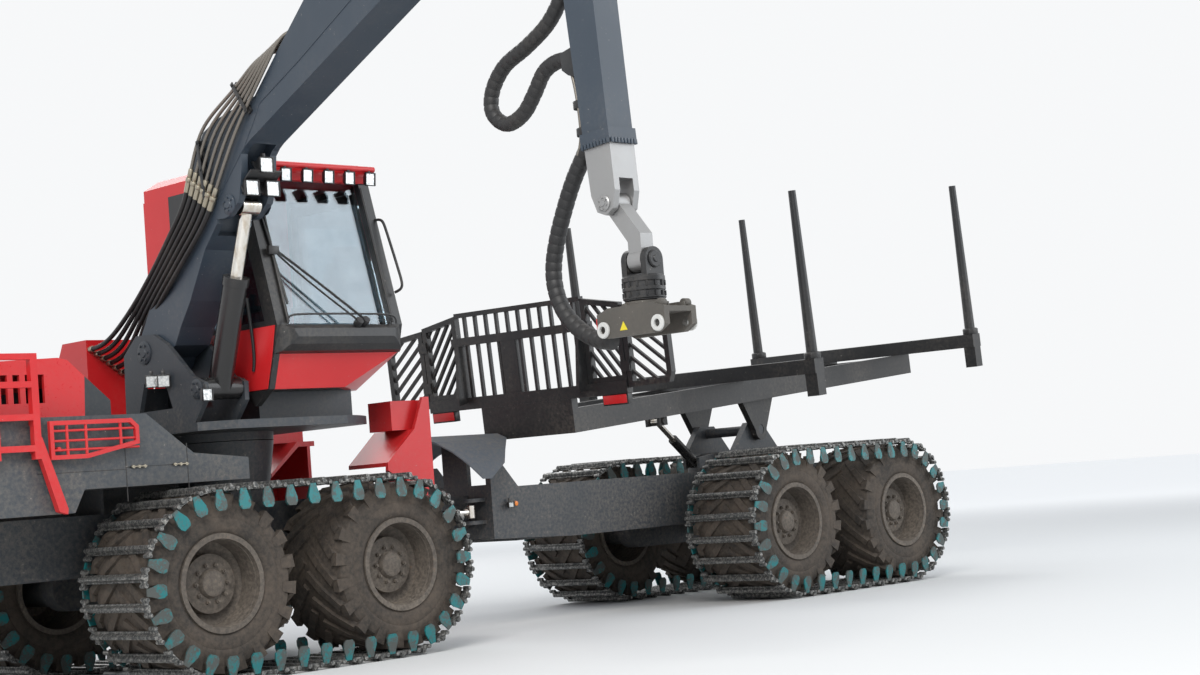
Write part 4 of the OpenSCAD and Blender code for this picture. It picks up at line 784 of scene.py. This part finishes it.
bracket = bmesh.new()
cheek = [(1.46, -0.107), (1.66, -0.107), (1.62, -0.20), (1.58, -0.245), (1.48, -0.245)]
for side in (-0.055, 0.045):
    plate_in(bracket, cheek, 0.010, STICK @ UPRIGHT @ shift(0, 0, side))
band = [(0.050, -0.022), (0.057, -0.022), (0.057, 0.022), (0.050, 0.022), (0.050, -0.022)]
for x in (1.05, 1.80, 1.96):
    turned_in(bracket, band, 20, STICK @ shift(x, 0, -0.165) @ turn("Y", 90))
    box_in(bracket, (x - 0.02, -0.03, -0.118), (x + 0.02, 0.03, -0.105), STICK)
finish_piece("hose_bracket", bracket, BLACK, "outer_boom", bevel=0.002)
for i in range(5):
    y = 0.020 * (i - 2)
    hose_piece(f"stick_hose_{i}", placed(STICK, [
        (0.46, y * 1.6, -0.150 - 0.012 * (i % 2)), (0.70, y * 1.5, -0.160), (0.90, y, -0.165),
        (1.08, y, -0.170)]), 0.011, RUBBER, "outer_boom")
    covering = RUBBER if i % 2 else PIPE_METAL
    hose_piece(f"bracket_hose_{i}", placed(STICK, [
        (1.52, y, -0.205), (1.58, y, -0.185), (1.70, y, -0.165), (1.90, y, -0.160),
        (2.02, y, -0.170), (2.09, y, -0.215)]), 0.0105, covering, "extension")
print("outer boom's hoses made")

# %% [markdown]
# At the end of the outer boom a collar carries a row of short wiper blocks, like teeth, and below
# it the extension's head is a cast fork. The hitch has thick bosses round its bores, rollers on
# its top, a red tip at one end and a plain yellow triangle on its side.

# %% Collar, rotator rings and hitch details
teeth = bmesh.new()
for y, z, half_y, half_z in (
        [(s * 0.1125, -0.104 + 0.026 * k, 0.006, 0.009) for s in (1, -1) for k in range(9)]
        + [(-0.091 + 0.026 * k, s * 0.116, 0.009, 0.006) for s in (1, -1) for k in range(8)]):
    box_in(teeth, (2.062, y - half_y, z - half_z), (2.092, y + half_y, z + half_z), STICK)
finish_piece("collar_teeth", teeth, BOOM, "outer_boom", bevel=0.002)

rings = bmesh.new()
for x, r, h in ((0.092, 0.1195, 0.030), (0.150, 0.1195, 0.024), (0.205, 0.1195, 0.014)):
    turned_in(rings, [(0.112, 0.0), (r, 0.0), (r + 0.003, 0.004), (r + 0.003, h - 0.004), (r, h),
                      (0.112, h)], 40, HANG @ shift(x, 0, 0) @ turn("Y", 90))
for y, z in around(14, 0.1185):
    rod_in(rings, (0.120, y, z), (0.150, y, z), 0.0065, 6, HANG)
    rod_in(rings, (0.178, y, z), (0.206, y, z), 0.0065, 6, HANG)
for s, flip in ((1, 0), (-1, 180)):
    cap_in(rings, HANG @ shift(0, 0, s * 0.0965) @ turn("X", flip), 0.050, 0)
finish_piece("rotator_rings", rings, BLACK, "rotator")

hitch = bmesh.new()
pale = bmesh.new()
boss = [(0.0225, 0.0), (0.046, 0.0), (0.046, 0.010), (0.042, 0.014), (0.0225, 0.014), (0.0225, 0.0)]
for s in (1, -1):
    for z in (0.210, -0.210):
        turned_in(pale, boss, 28, HANG @ shift(0.371, s * 0.1305, z) @ turn("X", -90 * s))
    for z in (0.215, -0.05):
        y = s * 0.066
        rod_in(hitch, (0.262, s * 0.075, z), (0.262, s * 0.120, z), 0.026, 20, HANG)
        box_in(hitch, (0.255, y - 0.006, z - 0.024), (0.300, y + 0.006, z + 0.024), HANG)
finish_piece("hitch_rollers", hitch, HITCH_STEEL, "quick_hitch", bevel=0.003)
PALE = paint("pale_casting", (0.62, 0.62, 0.60), rough=0.5, dusty=0.3)
finish_piece("hitch_bosses", pale, PALE, "quick_hitch")
box_piece("hitch_red_tip", [((0.300, -0.130, -0.268), (0.372, 0.130, -0.2605))], HANG, RED,
          "quick_hitch", 0.003)
sign = bmesh.new()
plate_in(sign, [(0.335, -0.055), (0.385, -0.084), (0.385, -0.026)], 0.0015,
         HANG @ shift(0, -0.1305, 0) @ UPRIGHT)
YELLOW = paint("sign_yellow", (0.75, 0.62, 0.03), rough=0.5, dusty=0.2)
finish_piece("hitch_triangle", sign, YELLOW, "quick_hitch")
print("hitch details made")

# %% [markdown]
# A forestry tyre has tall slanted lugs in two rows. The carcass is a turned section, a little
# smaller than the CAD tyre, and each lug is two bars and a shoulder block that reach the CAD
# tyre's radius. One tyre is built and set at every wheel. The hubs get a cap and a ring of wheel
# nuts.

# %% Tyres and wheel hubs
LUGS, LUG_TWIST = 20, 0.66  # lugs in a row, and how far out a lug goes for each radian that it lags


def make_tyre():
    half_section = [(0.590, 0.0), (0.588, 0.20), (0.575, 0.29), (0.545, 0.330), (0.50, 0.343),
                    (0.455, 0.349), (0.440, 0.344), (0.425, 0.349), (0.375, 0.346), (0.352, 0.338),
                    (0.338, 0.328), (0.3113, 0.328)]
    section = [(r, -h) for r, h in reversed(half_section)] + half_section[1:]
    bm = bmesh.new()
    turned_in(bm, section, 56)
    for k in range(LUGS):
        for s, offset in ((1, 0.0), (-1, 0.5)):
            a0 = math.tau * (k + offset) / LUGS
            for z, length, r in ((0.085, 0.19, 0.590), (0.225, 0.20, 0.588)):
                at = Matrix.Rotation(a0 + z / LUG_TWIST, 4, "Z") @ shift(r, 0, s * z)
                bar = at @ turn("X", -42 * s)
                for v in box_in(bm, (-0.025, -0.034, -length / 2), (0.0185, 0.034, length / 2)):
                    v.co.y *= 0.80 if v.co.x > 0 else 1.0
                    v.co = bar @ v.co
            at = Matrix.Rotation(a0 + 0.325 / LUG_TWIST, 4, "Z") @ shift(0.545, 0, s * 0.317)
            for v in box_in(bm, (-0.060, -0.045, -0.030), (0.050, 0.045, 0.030)):
                v.co.z *= s
                v.co.y *= 0.72 if v.co.x < 0 else 1.0
                v.co = at @ v.co
    bmesh.ops.recalc_face_normals(bm, faces=bm.faces)
    return as_mesh(bm, "one_tyre")


def make_hub():
    bm = bmesh.new()
    cap = [(0.0, 0.246), (0.060, 0.244), (0.086, 0.234), (0.094, 0.220), (0.100, 0.2003)]
    turned_in(bm, cap, 32)
    for x, y in around(10, 0.128):
        rod_in(bm, (x, y, 0.198), (x, y, 0.222), 0.016, 6)
        rod_in(bm, (x, y, 0.220), (x, y, 0.234), 0.009, 8)
    turned_in(bm, [(0.292, 0.302), (0.299, 0.310), (0.299, 0.318)], 48)
    rod_in(bm, (0.262, 0.0, 0.225), (0.272, 0.0, 0.262), 0.006, 8)
    return as_mesh(bm, "one_hub")


one_tyre, one_hub = make_tyre(), make_hub()
for end, at_end in ENDS:
    places = [at_end @ shift(e * BOGIE / 2, s * WHEEL_Y, AXLE_Z) @ turn("X", -90 * s)
              for s in (1, -1) for e in (1, -1)]
    treads = repeat_piece(f"{end}_tyre_treads", one_tyre, places, TYRE, f"{end}_frame")
    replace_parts(treads, f"{end}_tyres")
    repeat_piece(f"{end}_hubs", one_hub, places, RUST_RIM, f"{end}_frame")

# %% [markdown]
# Rubber seals run up both sides of the cab's screen. Two wiper arms rise from below it and hold
# one long blade. A thin rail runs along the screen's foot, a bent grab rail stands off the corner
# post, the door has a handle, and a red panel closes the cab's foot towards the crane. All are
# tubes, small bars and plates in the platform's own frame.

# %% Wipers, rails and seals of the cab
SCREEN_FOOT, SCREEN_TOP = (1.290, 2.400), (1.010, 3.480)  # x and z of the pane's foot and top


def on_screen(y, z, out=0.012):
    """A place on the leaning screen, out from the pane."""
    share = (z - SCREEN_FOOT[1]) / (SCREEN_TOP[1] - SCREEN_FOOT[1])
    return (SCREEN_FOOT[0] + (SCREEN_TOP[0] - SCREEN_FOOT[0]) * share + out, y, z)


for name, r, points in (
    ("wiper_arm_upper", 0.0095, [on_screen(0.50, 2.43, 0.07), on_screen(0.42, 2.50, 0.06),
                                 on_screen(0.02, 2.83, 0.05), on_screen(-0.14, 2.95, 0.035)]),
    ("wiper_arm_lower", 0.0075, [on_screen(0.44, 2.42, 0.07), on_screen(0.36, 2.49, 0.06),
                                 on_screen(0.00, 2.77, 0.045), on_screen(-0.13, 2.93, 0.03)]),
    ("wiper_blade", 0.009, [on_screen(-0.17, 3.24), on_screen(-0.14, 2.95, 0.016),
                            on_screen(-0.11, 2.55)]),
    ("screen_rail", 0.0075, [(1.330, -0.17, 2.40), (1.330, -0.17, 2.462), (1.330, -0.14, 2.474),
                             (1.330, 0.78, 2.474), (1.330, 0.81, 2.462), (1.330, 0.81, 2.40)]),
    ("grab_rail", 0.0105, [(1.080, 0.880, 3.20), (1.135, 0.905, 3.205), (1.150, 0.905, 3.18),
                           (1.320, 0.905, 2.70), (1.325, 0.905, 2.66), (1.255, 0.880, 2.64)]),
    ("screen_seal_left", 0.012, [on_screen(0.800, 2.42), on_screen(0.800, 3.44)]),
    ("screen_seal_right", 0.012, [on_screen(-0.140, 2.42), on_screen(-0.140, 3.44)]),
    ("crane_side_cable", 0.012, [(0.98, -0.250, 2.62), (1.02, -0.262, 2.40), (1.05, -0.255, 2.22),
                                 (1.00, -0.250, 2.10)]),
):
    bent = len(points) > 2
    hose_piece(name, placed(TURNED, points), r, BLACK, "platform", smooth=bent)
bm = bmesh.new()
for y, z0, z1 in ((0.44, 2.395, 2.425), (0.50, 2.400, 2.432)):
    rod_in(bm, (1.330, y, z0), (1.375, y, z1), 0.030, 16, TURNED)
box_in(bm, on_screen(-0.19, 2.91, 0.010), on_screen(-0.10, 2.97, 0.055), TURNED)
finish_piece("wiper_pivots", bm, BLACK, "platform", bevel=0.003)

box_piece("door_handle", [((0.90, 0.8953, 2.20), (1.05, 0.908, 2.26)),
                          ((0.92, 0.908, 2.215), (1.035, 0.925, 2.240))],
          TURNED, BLACK, "cab_door", 0.004)

bm = bmesh.new()
panel = [(0.065, 1.963), (1.140, 1.963), (1.216, 2.190), (1.270, 2.400), (0.065, 2.400)]
plate_in(bm, panel, 0.006, TURNED @ shift(0, -0.2355, 0) @ UPRIGHT)
finish_piece("crane_side_panel", bm, RED, "platform", bevel=0.002)
print("cab trim made")

# %% [markdown]
# Six square lamps hang under the front edge of the roof. Each is a black cast case, which narrows
# to its back, with a rim round a pale lens.

# %% Roof lamps
roof_places = [TURNED @ shift(1.142, -0.150 + 0.192 * i, 3.494) @ turn("Y", 6) for i in range(6)]
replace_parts(lamp_pieces("roof_lamp", roof_places, "platform", 0.094, 0.098, 0.044), "work_lamps")
print("roof lamps made")

# %% [markdown]
# The seat shows through the screen. Each cushion is a crowned closed form: a ball of fine faces is
# pushed out into a rounded block, its sides are drawn in between the corners, and seams are
# pressed into its face. The seat's stand with its bellows, and the armrests with their levers, are
# hard.

# %% The driver's seat
SEAT_Y = 0.33  # the seat's middle, across the cab
SQUARE, CROWN, SEAM = 0.42, 0.16, 0.11  # a cushion's boxiness, its crown and its seams' depth


def cushion(name, size, at, seams=()):
    """size is the half lengths in X, Y and Z, and seams are places across Y, from -1 to 1."""
    bm = bmesh.new()
    bmesh.ops.create_icosphere(bm, subdivisions=6, radius=1.0)
    for v in bm.verts:
        x, y, z = (math.copysign(abs(c) ** SQUARE, c) for c in v.co)
        x, y = x * 0.995, y * 0.995
        rim = max(abs(x), abs(y))
        drawn_in = 1 - 0.05 * (1 - min(1.0, abs(y)) ** 2)
        top = z * (1 - CROWN * rim ** 4)
        groove = sum(math.exp(-((y - s) / 0.035) ** 2) for s in seams)
        piping = 1 - 0.02 * math.exp(-((abs(z) - 0.30) / 0.06) ** 2) * (0.5 if rim > 0.93 else 0.0)
        pressed = math.copysign(SEAM, z) * groove * (abs(z) > 0.5)
        x, y, z = x * drawn_in * piping, y * piping, top - pressed
        v.co = at @ Vector((x * size[0], y * size[1], z * size[2]))
    bmesh.ops.recalc_face_normals(bm, faces=bm.faces)
    piece = finish_piece(name, bm, CLOTH, "platform")
    for e in piece.data.edges:
        e.use_edge_sharp = False
    return piece


def in_cab(x, z, across=0.0):
    return TURNED @ shift(x, SEAT_Y + across, z)


base = cushion("seat_cushion", (0.245, 0.240, 0.060), in_cab(0.37, 2.382), (-0.55, 0.55))
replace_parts(base, "cab_seat")
leaning = turn("Y", -97)
cushion("seat_back", (0.300, 0.235, 0.060), in_cab(0.085, 2.745) @ leaning, (-0.55, 0.0, 0.55))
cushion("seat_headrest", (0.070, 0.130, 0.045), in_cab(0.040, 3.085) @ leaning)
stand = bmesh.new()
for k in range(5):
    step, z = 0.012 * (k % 2), 2.05 + 0.045 * k
    box_in(stand, (0.155 + step, 0.185 + step, z), (0.495 - step, 0.475 - step, z + 0.045), TURNED)
box_in(stand, (0.150, 0.180, 1.992), (0.500, 0.480, 2.052), TURNED)
box_in(stand, (0.13, 0.12, 2.270), (0.58, 0.54, 2.322), TURNED)
for s, side in ((1, "left"), (-1, "right")):
    cushion("armrest_" + side, (0.150, 0.035, 0.022), in_cab(0.33, 2.60, s * 0.225))
    at = in_cab(0, 0, s * 0.225)
    box_in(stand, (0.15, s * 0.020 - 0.010, 2.32), (0.20, s * 0.020 + 0.010, 2.585), at)
    box_in(stand, (0.16, -0.030, 2.565), (0.49, 0.030, 2.580), at)
    box_in(stand, (0.47, -0.045, 2.570), (0.60, 0.045, 2.612), at)
    rod_in(stand, (0.545, 0, 2.61), (0.550, 0, 2.70), 0.016, 12, at, 0.022)
finish_piece("seat_stand", stand, BLACK, "platform", bevel=0.006)
print("seat made")

# %% [markdown]
# The bonnet is red with a dark rear end, so its paint changes along one leaning line. Seams
# between the hull's covers are thin dark bars let into the face, and each cover has small wire
# latches. A small lamp and an amber reflector sit on the rear frame, just behind the articulation.

# %% Bonnet and hull covers
bonnet = Finish("bonnet_two_tone")
x, y, z = bonnet.parts()
fine = bonnet.noise(38.0, 6.0, 0.65)
up = bonnet.parts(bonnet.node("NewGeometry", output=1))[2]
DARK_END = FRONT.x + 1.440
dark = x + z * 0.05 < DARK_END
dusty = bonnet.ramp(fine, 0.3, 0.8) * (0.07 + bonnet.ramp(up, 0.5, 0.95) * 0.12)
two_tone = bonnet.mix(dark, (0.62, 0.018, 0.022), (0.020, 0.026, 0.032))
bonnet.set(Base_Color=bonnet.mix(dusty, two_tone, DUST), Roughness=0.27 + dark * 0.14 + dusty,
           Normal=bonnet.bump(fine, 0.08, 0.002))
coat_node("bonnet", bonnet.material)

HULL_Y, LATCH_Z = 1.0402, 1.478
bm = bmesh.new()
latches = bmesh.new()
for s in (1, -1):
    for x0, z0, x1, z1 in ((1.236, 1.25, 1.242, 1.78), (0.76, 1.475, 1.236, 1.480),
                           (0.752, 1.25, 0.757, 1.62), (1.242, 1.462, 1.90, 1.467)):
        box_in(bm, (x0, s * HULL_Y - 0.004, z0), (x1, s * HULL_Y + 0.0015, z1), AT_FRONT)
    for x0 in (1.144, 0.815):
        foot_y, head_y, wire_y = (s * (HULL_Y + out) for out in (-0.002, 0.016, 0.012))
        for x in (x0 - 0.045, x0 + 0.045, x0):
            rod_in(latches, (x, foot_y, LATCH_Z), (x, head_y, LATCH_Z), 0.011, 10, AT_FRONT)
        rod_in(latches, (x0 - 0.06, wire_y, LATCH_Z), (x0 + 0.06, wire_y, LATCH_Z), 0.005, 8,
               AT_FRONT)
finish_piece("hull_seams", bm, BLACK, "front_frame")
finish_piece("hull_latches", latches, FITTING, "front_frame")

lamp_pieces("centre_lamps", [AT_FRONT @ shift(-2.72, 0.470, 1.003) @ turn("Z", 90)], "rear_frame",
            0.07, 0.05, 0.03)
AMBER = paint("lamp_amber", (0.85, 0.22, 0.01), rough=0.25, dusty=0.2)
bm = bmesh.new()
rod_in(bm, (-2.80, 0.430, 1.010), (-2.80, 0.452, 1.010), 0.020, 16, AT_FRONT)
finish_piece("centre_reflector", bm, AMBER, "rear_frame", bevel=0.003)
print("bonnet and hull details made")

# %% [markdown]
# The headboard's lower beam carries a blank red plate on each side, in a black bracket. The stakes
# stand in collars on the bolsters, and each collar is a turned ring with three ribs.

# %% Headboard plates and stake collars
spans = ((0.80, 1.03), (-1.03, -0.80))
box_piece("headboard_plates", [((2.9681, y0, 0.482), (2.978, y1, 0.552)) for y0, y1 in spans],
          BED, RED, "load_bed", 0.002)
box_piece("headboard_plate_brackets", [
    ((2.905, y0 - 0.012, 0.470), (2.968, y1 + 0.012, 0.560)) for y0, y1 in spans],
          BED, BLACK, "load_bed", 0.003)
bm = bmesh.new()
collar = [(0.053, 0.0), (0.074, 0.0), (0.074, 0.050), (0.066, 0.060), (0.052, 0.060)]
for u in (-2.70, 0.43):
    for s in (1, -1):
        at = BED @ shift(u, s * 1.27, 0.611)
        turned_in(bm, collar, 28, at)
        for k in range(3):
            rib = Matrix.Rotation(math.tau * k / 3 + 0.4, 4, "Z")
            box_in(bm, (0.048, -0.006, 0.0), (0.085, 0.006, 0.052), at @ rib)
finish_piece("stake_collars", bm, BLACK, "load_bed", bevel=0.002)
print("bed details made")

# %% [markdown]
# The floor is plain and pale, and glows a little far out, so that it meets the pale world without
# a hard edge. The light is a large soft key from the front left, a wide fill and a back light. The
# view transform is Standard, so a colour renders about as it is written.

# %% Floor and light
floor = Finish("floor")
x, y, z = floor.parts()
far_out = floor.ramp(x * x + y * y, 90.0, 800.0)
glow = floor.mix(far_out, (0.0, 0.0, 0.0), (0.98, 0.99, 1.0))
floor.set(Base_Color=(0.80, 0.80, 0.79), Roughness=0.9, Specular_IOR_Level=0.1,
          Emission_Color=glow, Emission_Strength=0.46)
bm = bmesh.new()
bmesh.ops.create_grid(bm, x_segments=1, y_segments=1, size=90.0)
ground = bpy.data.objects.new("ground", as_mesh(bm, "ground"))
ground.location = (FRONT.x - 3.0, FRONT.y, -0.002)
ground.data.materials.append(floor.material)
SCENE.collection.objects.link(ground)


def area_light(name, place, aim, size, power, colour=(1.0, 1.0, 1.0)):
    data = bpy.data.lights.new(name, "AREA")
    data.energy = power
    data.shape = "SQUARE"
    data.size = size
    data.color = colour
    lamp = bpy.data.objects.new(name, data)
    lamp.location = place
    lamp.rotation_euler = (aim - place).to_track_quat("-Z", "Y").to_euler()
    SCENE.collection.objects.link(lamp)


middle = FRONT + Vector((-2.5, 0.0, 1.8))
area_light("key", FRONT + Vector((11, 12, 13)), middle, 9.0, 2600.0, (1.0, 0.98, 0.95))
area_light("fill", FRONT + Vector((-14, 12, 8)), middle, 12.0, 1100.0, (0.92, 0.96, 1.0))
area_light("back", FRONT + Vector((-8, -14, 12)), middle, 12.0, 1200.0)

# What looks at the world sees a pale sky, and what it lights gets a dimmer, bluer one.
sky = Finish("sky", bpy.data.worlds.new("world"))
SCENE.world = sky.material
rays = [sky.node("LightPath", output=kind)
        for kind in ("Is Camera Ray", "Is Glossy Ray", "Is Transmission Ray")]
lit = sky.node("Background", {"Color": (0.86, 0.92, 1.0), "Strength": 0.55})
seen = sky.node("Background", {"Color": (0.93, 0.94, 0.95)})
blend = sky.node("MixShader", {0: sum(rays), 1: lit, 2: seen})
sky.plug(sky.tree.nodes["World Output"].inputs["Surface"], blend)
SCENE.view_settings.view_transform = "Standard"
